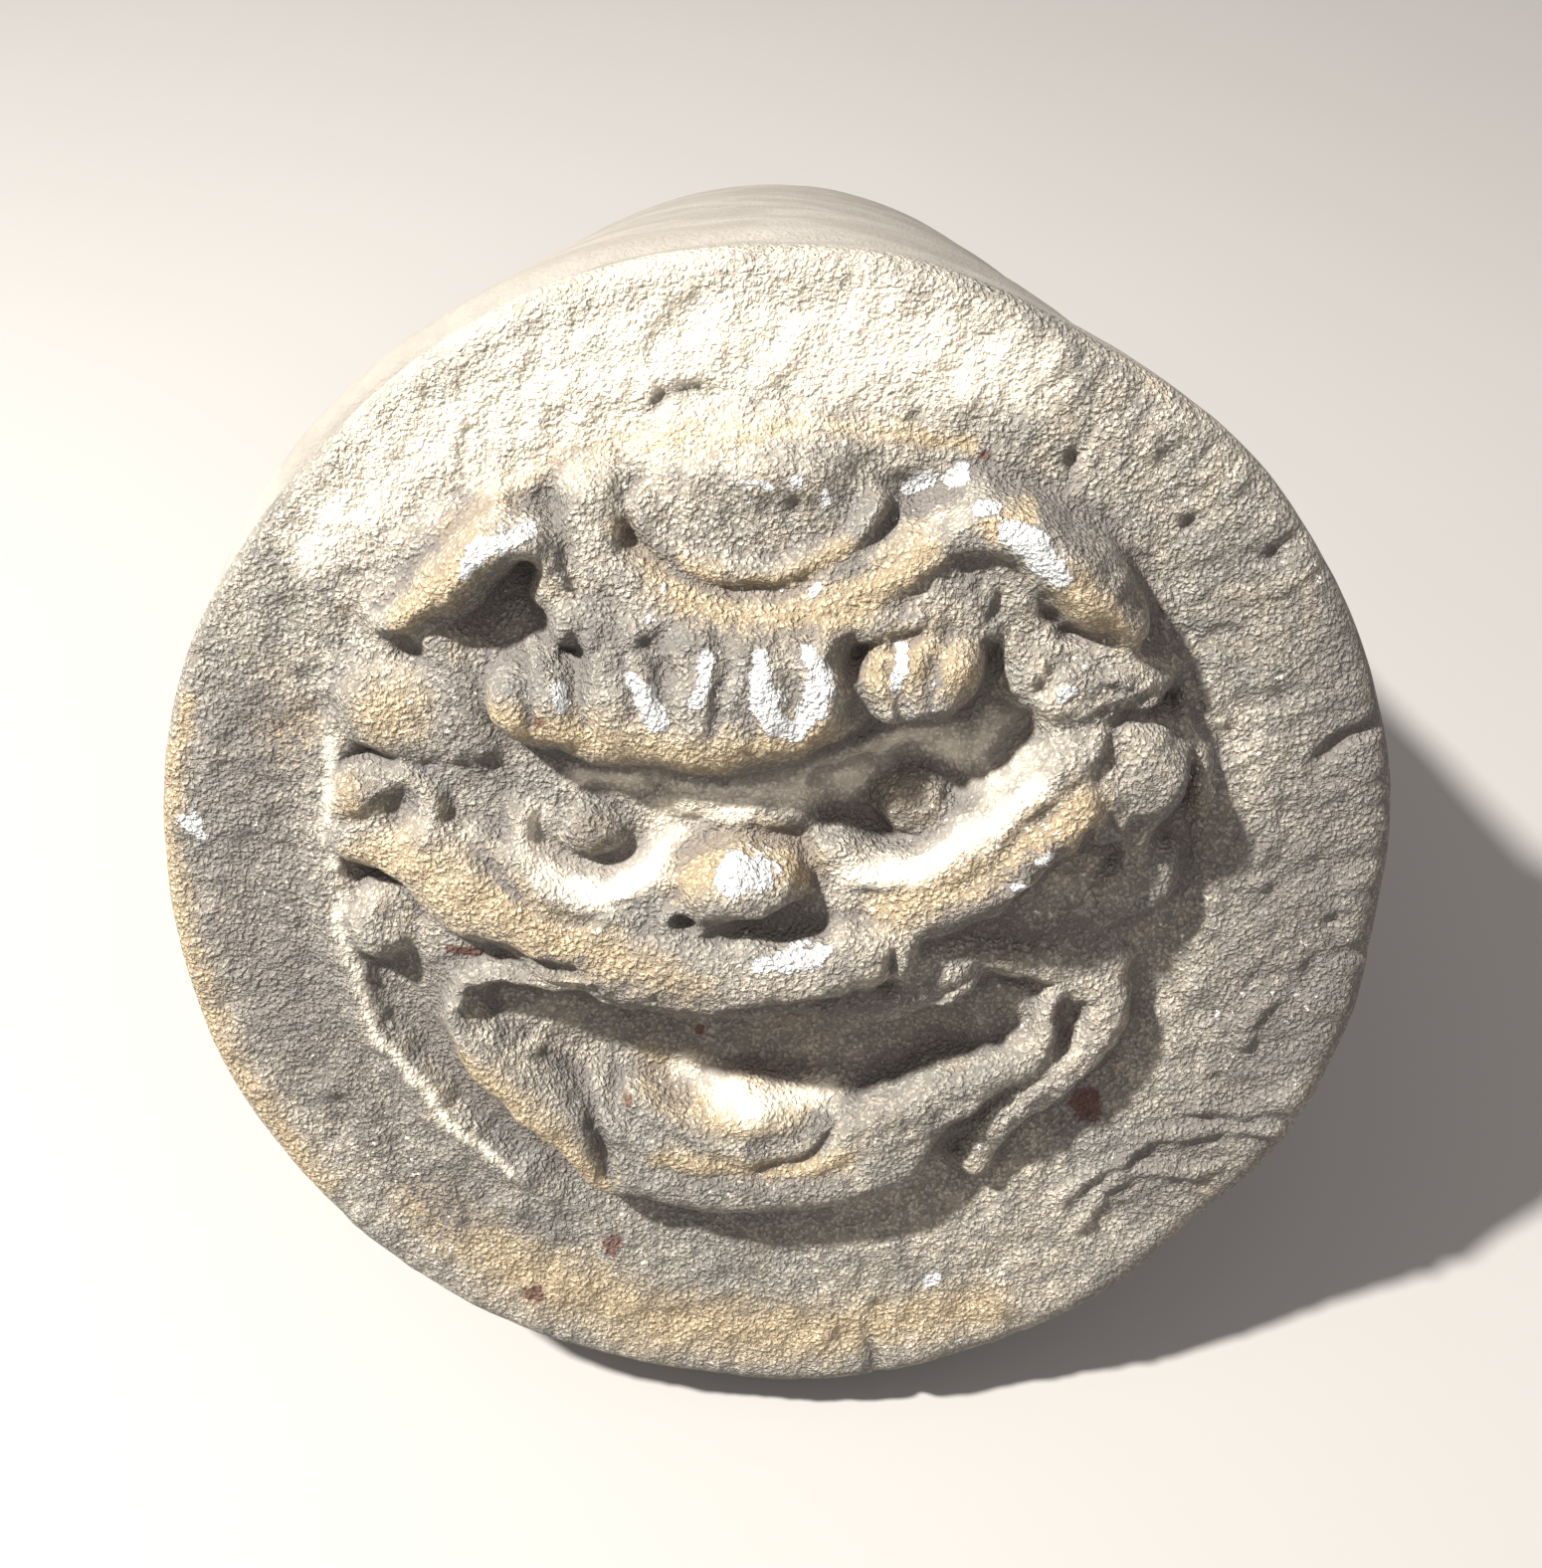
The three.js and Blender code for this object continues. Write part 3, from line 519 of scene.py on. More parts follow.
score((36.6, 4.0, 0.4, 0.7), (38.6, 1.4, 0.8, 0.7), (38.2, -1.4, 0.4, 0.7))
print("curls", clay[(np.abs(U) > 36) & (np.abs(V) < 18)].max().round(1), "mm high")

# %% [markdown]
# ## Marks on the rim
# The plain rim has its own history: pits where grit fell out, a flaked ledge above the crest,
# cracks at the right edge, and low flakes on the right where the clay was knocked.

# %% Rim marks
FLAKE_HEIGHT = 0.9
FLAKE_HALF_WIDTH = 1.4

score((-13.4, 49.2, 0.5, 0.8), (-10.9, 49.9, 1.0, 0.9), (-7.6, 51.3, 1.2, 0.9), (-5.6, 51.4, 0.5, 0.8))
for place, half_width, depth in [((29.3, 44.6), 1.3, 1.3), ((41.1, 38), 1.4, 1.0), ((50, 35.6), 1.3, 0.9),
                                 ((34, 50), 0.9, 0.5), ((-24, 52), 0.9, 0.4), ((-48, 23), 1.3, 0.7)]:
    dish(place, (half_width, half_width), -depth, flat=0.3)


def flake(*rows):
    ridge(*[(u, v, FLAKE_HEIGHT, FLAKE_HALF_WIDTH) for u, v in rows], flat=0.1)


flake((57.0, -26.2), (52, -27.4), (47.2, -26.8))
flake((55.8, -29.6), (48, -30.2), (41.9, -31.0), (38.6, -33.4), (35.6, -36.2), (32.3, -39.2))
flake((48.4, -35.6), (42, -35.2), (39, -36.6), (36.6, -39.6), (34.9, -42.4))
flake((61.4, -19), (59.2, -22.8), (56.3, -26.2))
flake((54.6, -12.4), (52.4, -15.6), (51.4, -18.8))
score((59.7, 1.2, 0.5, 0.7), (60.4, -6.5, 1.0, 0.7), (61.4, -9.4, 1.1, 0.8), (61.5, -14, 0.6, 0.7))
score((63.4, 18.8, 1.4, 1.6), (59.6, 16.8, 1.4, 1.5), (56.8, 14.6, 0.9, 1.2), (54.4, 12.2, 0.4, 0.9))
score((12.6, -62.5, 1.6, 1.4), (12.2, -60.0, 1.0, 1.2), (11.4, -57.6, 0.4, 1.0))
print("rim from", clay[from_mask > 50].min().round(1), "to", clay[from_mask > 50].max().round(1), "mm")

# %% [markdown]
# ## Strokes that only mark
# Some strokes don't move the clay but mark a place on it: here where it is rough, and later where
# it has a colour. A mark is one on the stroke's middle line, zero at its edge, and falls on below
# zero outside, so noise can still push the edge about.

# %% Painted marks
def painted(strokes):
    sheet = np.full(U.shape, -1.0)
    for rows in strokes:
        line = np.array([(u, v, 0, width) for u, v, width in rows], float)
        if len(line) == 1:
            line = np.vstack([line, line + [0.01, 0, 0, 0]])
        patch = patch_round(line, 2 * line[:, 3].max() + 2)
        x, _ = nearest(line, U[patch], V[patch])
        sheet[patch] = np.maximum(sheet[patch], 1 - x)
    return sheet


print("a mark reaches", painted([[(0, 0, 5)]]).max().round(2), "at its middle")

# %% [markdown]
# ## Softening and lumps
# Pressed clay shrinks as it dries and wears for centuries, so no crease stays knife sharp: a small
# blur takes the edges off. Then lumps of three sizes go on, a little stronger on the rim and most
# on its right. Broken hair and the mouth's sides are rougher still; marks say where.

# %% Blur and lumps
ROUGH = [
    [(24, 25, 4), (30, 24, 4.5), (37, 22, 4)], [(16, 33, 4), (22, 32, 4)],
    [(-18, -9, 3), (-8, -11, 4), (4, -11, 4), (14, -9, 3.6), (20, -8, 3)],
    [(22, 4, 2.4), (28, 7, 3), (32, 11, 2.4)], [(-32, 20, 3), (-30, 13, 3)],
    [(-19, 29, 2.4), (-10, 29, 2.6), (0, 29.4, 2), (10, 30, 2.6)], [(-22, 37, 2.4), (-21.6, 33, 2.4)],
    [(34, -12, 3), (32, -20, 4), (25, -27, 3.4)], [(12, -27, 3), (20, -23, 2.4)], [(-20, -26, 2)],
]

SOFTENING = 0.34

clay = blurred(clay, SOFTENING)
shaped = clay.copy()
on_rim = ease((from_mask - 43) / 5)
lump_sheet = 0.10 * lumps(6.0, 3) + 0.07 * lumps(2.8, 5) + 0.03 * lumps(1.6, 7)
clay += lump_sheet * (0.85 + 0.55 * on_rim)
towards_right = ease((straight_u + 15) / 55)
clay += (0.05 * lumps(1.9, 9) + 0.05 * lumps(3.4, 10)) * on_rim * towards_right
clay += (0.16 * lumps(2.6, 17) + 0.10 * lumps(1.5, 18)) * ease(painted(ROUGH) * 1.6)
print("lumps", lump_sheet.std().round(3), "mm")

# %% [markdown]
# ## From clay grid to mesh
# The face needs an even net of quads that ends exactly on the outline. A square grid bent into a
# disc gives that. It is drawn a little tighter in the middle, where the mask needs the detail.

# %% The face net
FACE_CELLS = 264
TIGHTEN = 0.8
EVENING_PASSES = 120


def disc_net(cells):
    side = np.linspace(-1, 1, cells + 1)
    a, b = np.meshgrid(side, side)
    wide = np.abs(a) >= np.abs(b)
    radius = np.where(wide, a, b)
    with np.errstate(divide="ignore", invalid="ignore"):
        angle = np.where(wide, np.pi / 4 * b / a, np.pi / 2 - np.pi / 4 * a / b)
    angle = np.nan_to_num(angle)
    p = np.stack([radius * np.cos(angle), radius * np.sin(angle)], -1)
    for _ in range(EVENING_PASSES):
        p[1:-1, 1:-1] = (p[:-2, 1:-1] + p[2:, 1:-1] + p[1:-1, :-2] + p[1:-1, 2:]) / 4
    size = np.hypot(p[..., 0], p[..., 1])
    return p * (TIGHTEN + (1 - TIGHTEN) * size**2)[..., None]


def net_border(cells):
    side = np.arange(cells)
    n = cells + 1
    return np.concatenate([side, side * n + cells, cells * n + cells - side, (cells - side) * n])


def sample(sheet, u, v):
    x = np.clip((u + REACH) / PITCH, 0, rule.size - 1.001)
    z = np.clip((v + REACH) / PITCH, 0, rule.size - 1.001)
    i = x.astype(int)
    j = z.astype(int)
    s = x - i
    t = z - j
    low = sheet[j, i] * (1 - s) + sheet[j, i + 1] * s
    high = sheet[j + 1, i] * (1 - s) + sheet[j + 1, i + 1] * s
    return low * (1 - t) + high * t


net = disc_net(FACE_CELLS).reshape(-1, 2)
net_turn = np.arctan2(net[:, 1], net[:, 0])
net = net * (outline_radius(net_turn) - edge_rounding(net_turn))[:, None]
face = np.column_stack([net[:, 0], -sample(clay, net[:, 0], net[:, 1]), net[:, 1]])
print("face net", len(face), "points")

# %% [markdown]
# ## Edge, side and back of the disc
# Rings of the same number of points run round the rounded front edge and down the side. The back
# is plain, so it gets a four times coarser net, and one ring of triangles joins the two.

# %% Disc mesh
BACK_EDGE = 1.0
BACK_CELLS = FACE_CELLS // 4


def ring_at(turn, inset, y):
    radius = outline_radius(turn) - inset
    return np.column_stack([radius * np.cos(turn), np.broadcast_to(y, turn.shape), radius * np.sin(turn)])


border = net_border(FACE_CELLS)
border_turn = net_turn[border]
rings = []
for angle in np.radians([18, 36, 54, 72, 90]):
    e = edge_rounding(border_turn)
    rings.append(ring_at(border_turn, e * (1 - math.sin(angle)), e * (1 - math.cos(angle))))
for y in (7.5, 11.5, 15.5, DISC_THICKNESS - BACK_EDGE):
    rings.append(ring_at(border_turn, 0.0, y))
rings.append(ring_at(border_turn, 0.3 * BACK_EDGE, DISC_THICKNESS - 0.3 * BACK_EDGE))

# the face's height at its border fades out over the rounded edge
border_height = face[border, 1]
for ring, share in zip(rings, (0.9, 0.6, 0.3, 0.1)):
    ring[:, 1] += border_height * share

back_net = disc_net(BACK_CELLS).reshape(-1, 2)
back_turn = np.arctan2(back_net[:, 1], back_net[:, 0])
back_net = back_net * (outline_radius(back_turn) - BACK_EDGE)[:, None]
back_face = np.column_stack([back_net[:, 0], np.full(len(back_net), DISC_THICKNESS), back_net[:, 1]])


def net_quads(cells, start):
    k = np.arange(cells * (cells + 1)).reshape(cells, cells + 1)[:, :-1].ravel() + start
    return np.column_stack([k, k + 1, k + cells + 2, k + cells + 1])


def ring_quads(inner, outer):
    return np.column_stack([inner, outer, np.roll(outer, -1), np.roll(inner, -1)])


disc_points = [face, *rings, back_face]
starts = np.cumsum([0] + [len(points) for points in disc_points])
faces = net_quads(FACE_CELLS, 0).tolist()
loop = border
for k in range(len(rings)):
    ring = np.arange(starts[k + 1], starts[k + 2])
    faces += ring_quads(loop, ring).tolist()
    loop = ring
back_loop = net_border(BACK_CELLS) + starts[-2]
for k, corner in enumerate(back_loop):
    following = back_loop[(k + 1) % len(back_loop)]
    near = [loop[(4 * k + step) % len(loop)] for step in range(5)]
    faces += [[near[0], corner, near[1]], [near[1], corner, near[2]], [near[2], corner, following],
              [near[2], following, near[3]], [near[3], following, near[4]]]
faces += net_quads(BACK_CELLS, starts[-2])[:, ::-1].tolist()


def mesh_of(name, points, faces):
    mesh = bpy.data.meshes.new(name)
    mesh.from_pydata([tuple(p) for p in points], [], faces)
    mesh.validate()
    piece = bpy.data.objects.new(name, mesh)
    bpy.context.scene.collection.objects.link(piece)
    return piece


def leaks(piece):
    bm = bmesh.new()
    bm.from_mesh(piece.data)
    count = sum(not e.is_manifold for e in bm.edges)
    volume = bm.calc_volume(signed=True)
    bm.free()
    return count, round(volume)


disc = mesh_of("disc", np.vstack(disc_points), faces)
print("disc faces", len(disc.data.polygons), "leaks and volume", leaks(disc))

# %% [markdown]
# ## The barrel
# Behind the upper half of the disc runs a half-round barrel. Its section is a loop: out over the
# outer arc and back along the inner one. Sweeping that loop back gives the barrel; near the disc
# the inner arc draws in, where wet clay was smeared into the corner to hold the two together. Its
# front end is buried in the disc and rounded off, because it stands a little proud of the rim.

# %% Barrel mesh
BARREL_LENGTH = 170.0
BARREL_OUTER = 63.4
BARREL_INNER = 49.0
BARREL_SHIFT = (-2.6, 2.0)
BARREL_START = 9.0
BED = 0.0
COVE = 12.0
ARC_CELLS = 84
THICK_CELLS = 6

stations = [(BARREL_START, BARREL_OUTER - 2.4, BARREL_INNER - COVE),
            (BARREL_START + 1.6, BARREL_OUTER - 0.9, BARREL_INNER - COVE),
            (BARREL_START + 4.0, BARREL_OUTER - 0.2, BARREL_INNER - COVE)]
for angle in np.radians([0, 15, 30, 45, 60, 75, 90]):
    inner = BARREL_INNER - COVE * (1 - math.sin(angle))
    stations.append((DISC_THICKNESS + COVE * (1 - math.cos(angle)), BARREL_OUTER, inner))
for y in np.linspace(35, BARREL_LENGTH - 4, 50):
    stations.append((y, BARREL_OUTER, BARREL_INNER))
for back_off, rounding in [(2.4, 0.1), (1.4, 0.5), (0.6, 1.3), (0.0, 2.6)]:
    stations.append((BARREL_LENGTH - back_off, BARREL_OUTER - rounding, BARREL_INNER + rounding))


def arc(radius, corner):
    start = math.asin((BED - BARREL_SHIFT[1]) / radius)
    angle = np.linspace(start, math.pi - start, ARC_CELLS + 1)
    reach = np.full(ARC_CELLS + 1, radius)
    reach[[0, -1]] -= corner
    height = BARREL_SHIFT[1] + reach * np.sin(angle)
    height[[0, -1]] = BED
    return np.column_stack([BARREL_SHIFT[0] + reach * np.cos(angle), height])


def barrel_section(y, outer, inner):
    over = arc(outer, 1.6)
    under = arc(inner, -1.6)[::-1]
    left_bed = np.linspace(over[-1], under[0], THICK_CELLS + 1)[1:-1]
    right_bed = np.linspace(under[-1], over[0], THICK_CELLS + 1)[1:-1]
    section = np.vstack([over, left_bed, under, right_bed])
    return np.column_stack([section[:, 0], np.full(len(section), y), section[:, 1]])


sections = [barrel_section(*station) for station in stations]
size = len(sections[0])
faces = []
for k in range(len(sections) - 1):
    here = np.arange(size) + k * size
    faces += ring_quads(here, here + size).tolist()
points = np.vstack(sections)


def close_end(points, first, flip):
    """A net across the wall thickness between the outer and the inner arc."""
    loop = np.arange(size) + first
    outer = loop[:ARC_CELLS + 1]
    left = loop[ARC_CELLS + 1:ARC_CELLS + THICK_CELLS]
    inner = loop[ARC_CELLS + THICK_CELLS:2 * ARC_CELLS + THICK_CELLS + 1][::-1]
    right = loop[2 * ARC_CELLS + THICK_CELLS + 1:][::-1]
    rows = [outer]
    for k in range(1, THICK_CELLS):
        share = k / THICK_CELLS
        middle = points[outer[1:-1]] * (1 - share) + points[inner[1:-1]] * share
        number = np.arange(len(points), len(points) + len(middle))
        points = np.vstack([points, middle])
        rows.append(np.concatenate([[right[k - 1]], number, [left[k - 1]]]))
    rows.append(inner)
    for a, b in zip(rows[:-1], rows[1:]):
        quads = np.column_stack([a[:-1], a[1:], b[1:], b[:-1]])
        faces.extend((quads[:, ::-1] if flip else quads).tolist())
    return points


points = close_end(points, 0, False)
points = close_end(points, (len(sections) - 1) * size, True)
barrel = mesh_of("barrel", points, faces)
print("barrel faces", len(barrel.data.polygons), "leaks and volume", leaks(barrel))

# %% [markdown]
# ## One solid
# The two were luted together before firing, so they are one body of clay. A boolean union joins
# the meshes and drops what is buried.

# %% Join
join = disc.modifiers.new("join", "BOOLEAN")
join.operation = "UNION"
join.solver = "MANIFOLD"
join.object = barrel
evaluated = disc.evaluated_get(bpy.context.evaluated_depsgraph_get())
tile_mesh = bpy.data.meshes.new_from_object(evaluated)
bpy.data.objects.remove(disc)
bpy.data.objects.remove(barrel)
tile = bpy.data.objects.new("beast_mask_eave_tile", tile_mesh)
bpy.context.scene.collection.objects.link(tile)
print("joined faces", len(tile_mesh.polygons), "leaks and volume", leaks(tile))

# %% [markdown]
# ## The hand in the clay
# No part of an old tile is truly flat. Soft noise in three sizes moves every point of the joined
# mesh a little along its normal, on the rim, the sides, the back and the barrel alike.

# %% Uneven surface
UNEVEN = [(24.0, 0.35), (9.0, 0.14), (3.4, 0.07)]

count = len(tile_mesh.vertices)
place = np.empty(count * 3)
tile_mesh.vertices.foreach_get("co", place)
place = place.reshape(-1, 3)
normal = np.empty(count * 3)
tile_mesh.vertex_normals.foreach_get("vector", normal)
normal = normal.reshape(-1, 3)

push = np.zeros(count)
for size, amount in UNEVEN:
    push += amount * np.array([noise.noise(Vector(p)) for p in place / size])
moved = place + normal * push[:, None]
print("uneven by", push.std().round(3), "mm, at most", np.abs(push).max().round(2))

# %% [markdown]
# ## Marks that the paint needs
# Colour on old clay follows its history: lime stays on high spots, soot stays in hollows, ochre and
# a pale skin show where the surface was rubbed. Some marks paint light and shade as well: many soot
# strokes lie where shade falls and are painted shade, some pale strokes are painted highlight, and
# the hollow and crease sheets darken sunk places with dirt and painted shade. Those places are known
# here, so they are stored on the mesh as plain numbers, one per point, and the material turns them
# into colour.

# %% Patches of lime, ochre, pale skin and painted highlight, soot and painted shade, and rust
LIME = [
    [(-28.9, 35.0, 0.9), (-27.5, 37.4, 1.5), (-25.3, 39.0, 1.6), (-23.4, 39.5, 1.3)],
    [(22.5, 39.9, 1.2), (24.1, 38.4, 1.8), (26.1, 36.5, 1.6), (27.4, 35.3, 0.9)],
    [(19.5, 41.4, 0.6), (21.5, 41.6, 0.6)],
    [(-4.9, 6.2, 1.0), (-3.2, 5.9, 1.9), (-0.5, 5.8, 1.7)],
    [(-1.3, -4.1, 0.9), (1.0, -3.6, 1.4), (3.3, -3.0, 1.6), (5.5, -2.3, 0.9)],
    [(-20.7, 24.9, 0.7), (-20.0, 22.7, 0.8)],
    [(-13.4, 25.6, 0.7), (-12.1, 24.0, 1.4), (-10.8, 21.3, 1.3)],
    [(-6.4, 27.7, 0.7), (-6.7, 25.3, 1.0), (-7.2, 24.1, 0.9)],
    [(-1.1, 27.5, 1.1), (-0.5, 25.1, 1.5), (0.7, 21.9, 1.6)],
    [(3.7, 28.8, 0.9), (5.1, 26.8, 1.4), (4.3, 23.9, 1.4), (2.0, 21.2, 1.5)],
    [(11.7, 24.6, 0.7), (12.9, 26.5, 1.0), (12.4, 28.3, 0.7)],
    [(28.2, 23.3, 1.0), (29.4, 23.6, 0.8)],
    [(26.5, 7.3, 0.6), (27.8, 8.0, 0.9)],
    [(24.2, 4.8, 0.7), (25.6, 4.4, 0.8)],
    [(13.0, 41.8, 1.0), (15.0, 42.5, 1.2)],
    [(16.9, 43.0, 1.0), (18.4, 43.4, 0.9)],
    [(-11.9, 30.9, 0.6)], [(2.2, 43.7, 0.7)], [(5.4, 42.6, 0.5), (5.8, 41.6, 0.6)],
    [(-4.2, 43.4, 0.35), (-1.8, 43.6, 0.35), (-0.3, 43.1, 0.35)],
    [(4.0, 33.3, 0.6), (5.2, 33.8, 0.4)], [(-11.0, 33.6, 0.6)], [(1.0, 33.5, 0.4)],
    [(18.6, -50.4, 1.3)], [(-61, 7, 1.6), (-60, 4.6, 1.0)],
]
OCHRE = [
    [(-27, 21.5, 2.5), (-20, 19.5, 4.5), (-12, 18.6, 4.5), (-4, 18.2, 4.5), (4, 20.5, 4.5)],
    [(9, 25.5, 3), (14, 27.5, 5), (18.5, 25.5, 3)],
    [(-9, 4.6, 3), (-5, 7.6, 3.6), (0, 7.8, 3.6), (4, 5.0, 2.6)],
    [(-34, -18, 2.4), (-29, -23, 4), (-24, -28, 4), (-19, -34, 3)],
    [(29, 33.5, 4.5), (32.5, 30.5, 4)],
    [(21, 40, 2.4), (24, 41, 1.4)],
    [(-36, 30, 3), (-31, 34.5, 3.5), (-28, 38, 3)],
    [(11, 1, 3), (17, 3, 3.5), (24, 7.5, 4), (30, 12, 4.5)],
    [(-43, 4, 3), (-37, 4, 5), (-30, 1, 6.5), (-24, -2, 5.5), (-17, -5, 5), (-8, -8, 4)],
    [(-38.5, 20, 5.5)], [(-43, 10.5, 3.5)], [(-18.2, 7.9, 2.6)], [(14.2, 10.8, 2.8)],
    [(-14, 39, 2.5), (-10, 33.5, 3), (-4, 31, 3), (2, 30.8, 3), (8, 32.5, 3), (14, 37, 3)],
    [(-9, 36, 1.8), (-4, 34, 1.8), (2, 34, 1.8), (7, 37, 1.8)],
    [(-32, 38, 1.4), (-28.7, 41.2, 1.8), (-23.2, 44.2, 2.0), (-17.5, 45.9, 2.0), (-10, 47.3, 2.0),
     (1, 48.1, 1.8), (10, 48, 1.6), (19.2, 45.9, 1.4)],
    [(-60, 20, 1.5), (-64.5, 5, 3), (-64, -8, 3), (-60, -22, 3), (-52, -38, 3)],
    [(-13, -22, 3), (-6, -25, 4.5), (2, -25, 4)],
    [(-40, -40, 5), (-30, -49, 7), (-12, -57, 7), (6, -58, 6), (25, -54, 5)],
    [(-50, 17, 5)], [(-12, -31, 2), (0, -32, 2.6), (8, -31, 2)],
]
# Soot and painted shade. The broad stroke on the left rim and the one on the left eyeball are soot the clay
# has. Most of the others lie where shade falls and are painted shade: under the brow, in its partings and the
# crest's grooves, under the nose, the lip and the right cheek, on the shaded sides of the ears and temples,
# and in the mouth's corners and the jaw's recesses.
SOOT_AND_SHADE_STROKES = [
    [(-53, 18, 7), (-54, 4, 11), (-54, -10, 11), (-50, -22, 9), (-44, -32, 6), (-36, -42, 5)],
    [(-30, 23, 3), (-31, 17, 4), (-28, 12, 3)],
    [(-20, 41, 2), (-20.5, 36, 2)],
    [(26, 40.5, 1.6), (31, 36.5, 1.5), (35, 31, 1.5)],
    [(20, 22, 1.6), (16, 20.2, 2), (10, 19.6, 1.6), (4, 17, 1.8), (-4, 14.8, 1.8),
     (-14, 15, 1.8), (-24, 17, 1.6)],
    [(-18, 29.6, 2), (-10, 28.6, 2.4), (-2, 29, 1.6), (4, 29.6, 1.4)], [(-10.6, 26, 1.6), (-9.6, 22, 1.2)],
    [(-19, 29, 1.4), (-18.5, 25, 1.6)], [(-11, 29.5, 1.4), (-11, 26, 1.4)], [(8, 27, 1.4), (8.4, 22, 1.7)],
    [(-4.8, 27.6, 1.0), (-5.2, 21.6, 0.9)], [(-1.9, 27, 0.8), (-1.6, 21, 0.8)],
    [(-12.8, 26, 0.8), (-13.2, 22.6, 0.7)],
    [(3, 26, 0.8), (2.6, 24, 0.8)], [(-23.4, 24.6, 0.9), (-23, 21, 0.8)],
    [(15.6, 27.4, 1.0), (15.8, 22, 1.2)],
    [(-12.5, 39, 1.4), (-8, 34.2, 1.2)], [(6, 34.6, 1.0), (9, 35.8, 1.0)],
    [(17, 37, 2), (21, 32, 2.5)], [(-30, 6, 1.4), (-26.5, 1.8, 1.4)],
    [(-18, -8, 3), (-8, -10, 4), (4, -10.5, 4), (14, -9, 3)],
    [(28, 8, 2), (24, 5, 2), (18, 0, 2), (26, -3, 4), (33, -4, 4)],
    [(-26, -6, 2), (-20, -5.5, 2)], [(-8, 0, 2), (4, -1, 2.5)],
    [(-34, -7.4, 2.4), (-37, -10, 3.0), (-38, -15, 2.4), (-36.6, -21, 2.0),
     (-32.8, -27.4, 1.6), (-27, -33, 1.6)], [(-24, -44, 2), (-28, -43, 2)],
    [(-24.6, -19.4, 0.9), (-20.8, -23.6, 1.4), (-18.5, -28, 1.4), (-17.6, -33, 1.0)],
    [(-30.2, -11.6, 0.9), (-29, -17, 0.9)],
    [(-33, -28.6, 0.9), (-28, -32.6, 1.1), (-23, -36.4, 1.1)], [(-17, -22.4, 0.7), (-15.6, -26, 0.9)],
    [(-41, 11, 2)], [(30.6, -14, 1.0), (31, -18, 1.0)], [(21, -26, 1.8), (20, -32, 1.8)],
    [(57, 28, 5), (60, 16, 9), (58, 4, 13), (57, -12, 12), (50, -27, 8), (42, -38, 6)],
    [(-2, -29, 1.5), (6, -27, 1.5)],
    [(34, 21, 3), (38, 22, 2)], [(-10, -33.4, 1.4), (0, -34.8, 1.6), (8, -33, 1.4)],
    [(-18.2, 7.9, 3.2)], [(14.2, 10.8, 2.4)], [(31, 25, 2.4), (36, 23, 2.4)],
]
# Pale skin and painted light. The broad stroke over the top of the rim and the thin one along the left bead
# are painted highlight where the light falls strongest. The stroke under the brow and over the right socket
# lightens the brow's shadow, which is painted light.
PALE = [
    [(-46, 36, 4), (-38, 44, 7), (-24, 52, 11), (-8, 56, 12), (10, 56, 10), (24, 53, 5)],
    [(-45.5, 16, 1.2), (-46.6, 4, 1.3), (-46.2, -8, 1.3), (-43, -18, 0.9),
     (-36.6, -28.6, 0.8), (-29, -35.4, 0.6)],
    [(-24.4, 9, 2.4), (-22.6, 4.4, 2.4), (-17, 2.2, 2.6), (-12.2, 5.6, 2.8), (-10, 10, 2.8), (-3, 11.5, 2.6)],
    [(-20, 13, 2), (-10, 13.5, 2), (0, 13.5, 2.4), (7.6, 13, 3.4), (12, 16.4, 2.6),
     (17, 17, 2.6), (20.4, 14.6, 3.6), (24, 19, 3)],
    [(-10, -22.5, 2.0), (-2, -25, 2.0), (6, -24.5, 1.6)],
    [(7, 5, 1.8), (14, 5, 1.6), (20, 9, 1.6), (26, 15, 1.4)],
    [(50, 44, 1.2), (53.7, 39.2, 1.4), (56.7, 35.2, 1.4), (60, 27, 1.0)],
]
RUST = [
    [(-34.1, -6.1, 0.8), (-32.1, -6.6, 1.1), (-30.9, -6.8, 0.7)], [(34.9, -27.1, 2.5)],
    [(38.5, -16.2, 0.9)], [(-18.3, -46.1, 1.7)], [(-28.1, -52.5, 1.5)], [(-8.5, -18.6, 0.9)],
    [(-32.9, -18.5, 0.6)], [(-15.9, -24.1, 1.1)], [(20.6, 45.1, 0.7)], [(-22, 21, 0.9)],
]

# hollow and crease mark where the clay is sunk below its surroundings; the material darkens them as dirt and
# painted shade
hollow_sheet = blurred(shaped, 2.2) - blurred(shaped, 0.5)
crease_sheet = blurred(shaped, 0.9) - blurred(shaped, 0.2)
sheets = {
    "lime": painted(LIME),
    "ochre": painted(OCHRE),
    "pale": painted(PALE),
    "soot_and_shade": painted(SOOT_AND_SHADE_STROKES),
    "rust": painted(RUST),
    "hollow": hollow_sheet,
    "crease": crease_sheet,
}
for name, sheet in sheets.items():
    print(name, sheet.min().round(2), sheet.max().round(2))

# %% Numbers on the mesh
FRONT_DEPTH = 4.0

is_front = place[:, 1] < FRONT_DEPTH
is_barrel = place[:, 1] > DISC_THICKNESS - 0.5
for name, sheet in sheets.items():
    values = sample(sheet, place[:, 0], place[:, 2])
    resting = 0.0 if name in ("hollow", "crease") else -1.0
    store = tile_mesh.attributes.new(name, "FLOAT", "POINT")
    store.data.foreach_set("value", np.where(is_front, values, resting))
# the potter's wet hand wiped the upper edge of the disc together with the barrel
wiped = ease((place[:, 1] - 1.6) / 2.0) * ease((place[:, 2] - 12) / 16)
store = tile_mesh.attributes.new("barrel", "FLOAT", "POINT")
store.data.foreach_set("value", np.maximum(wiped, is_barrel))
print("points on the face", is_front.sum(), "on the barrel", is_barrel.sum())

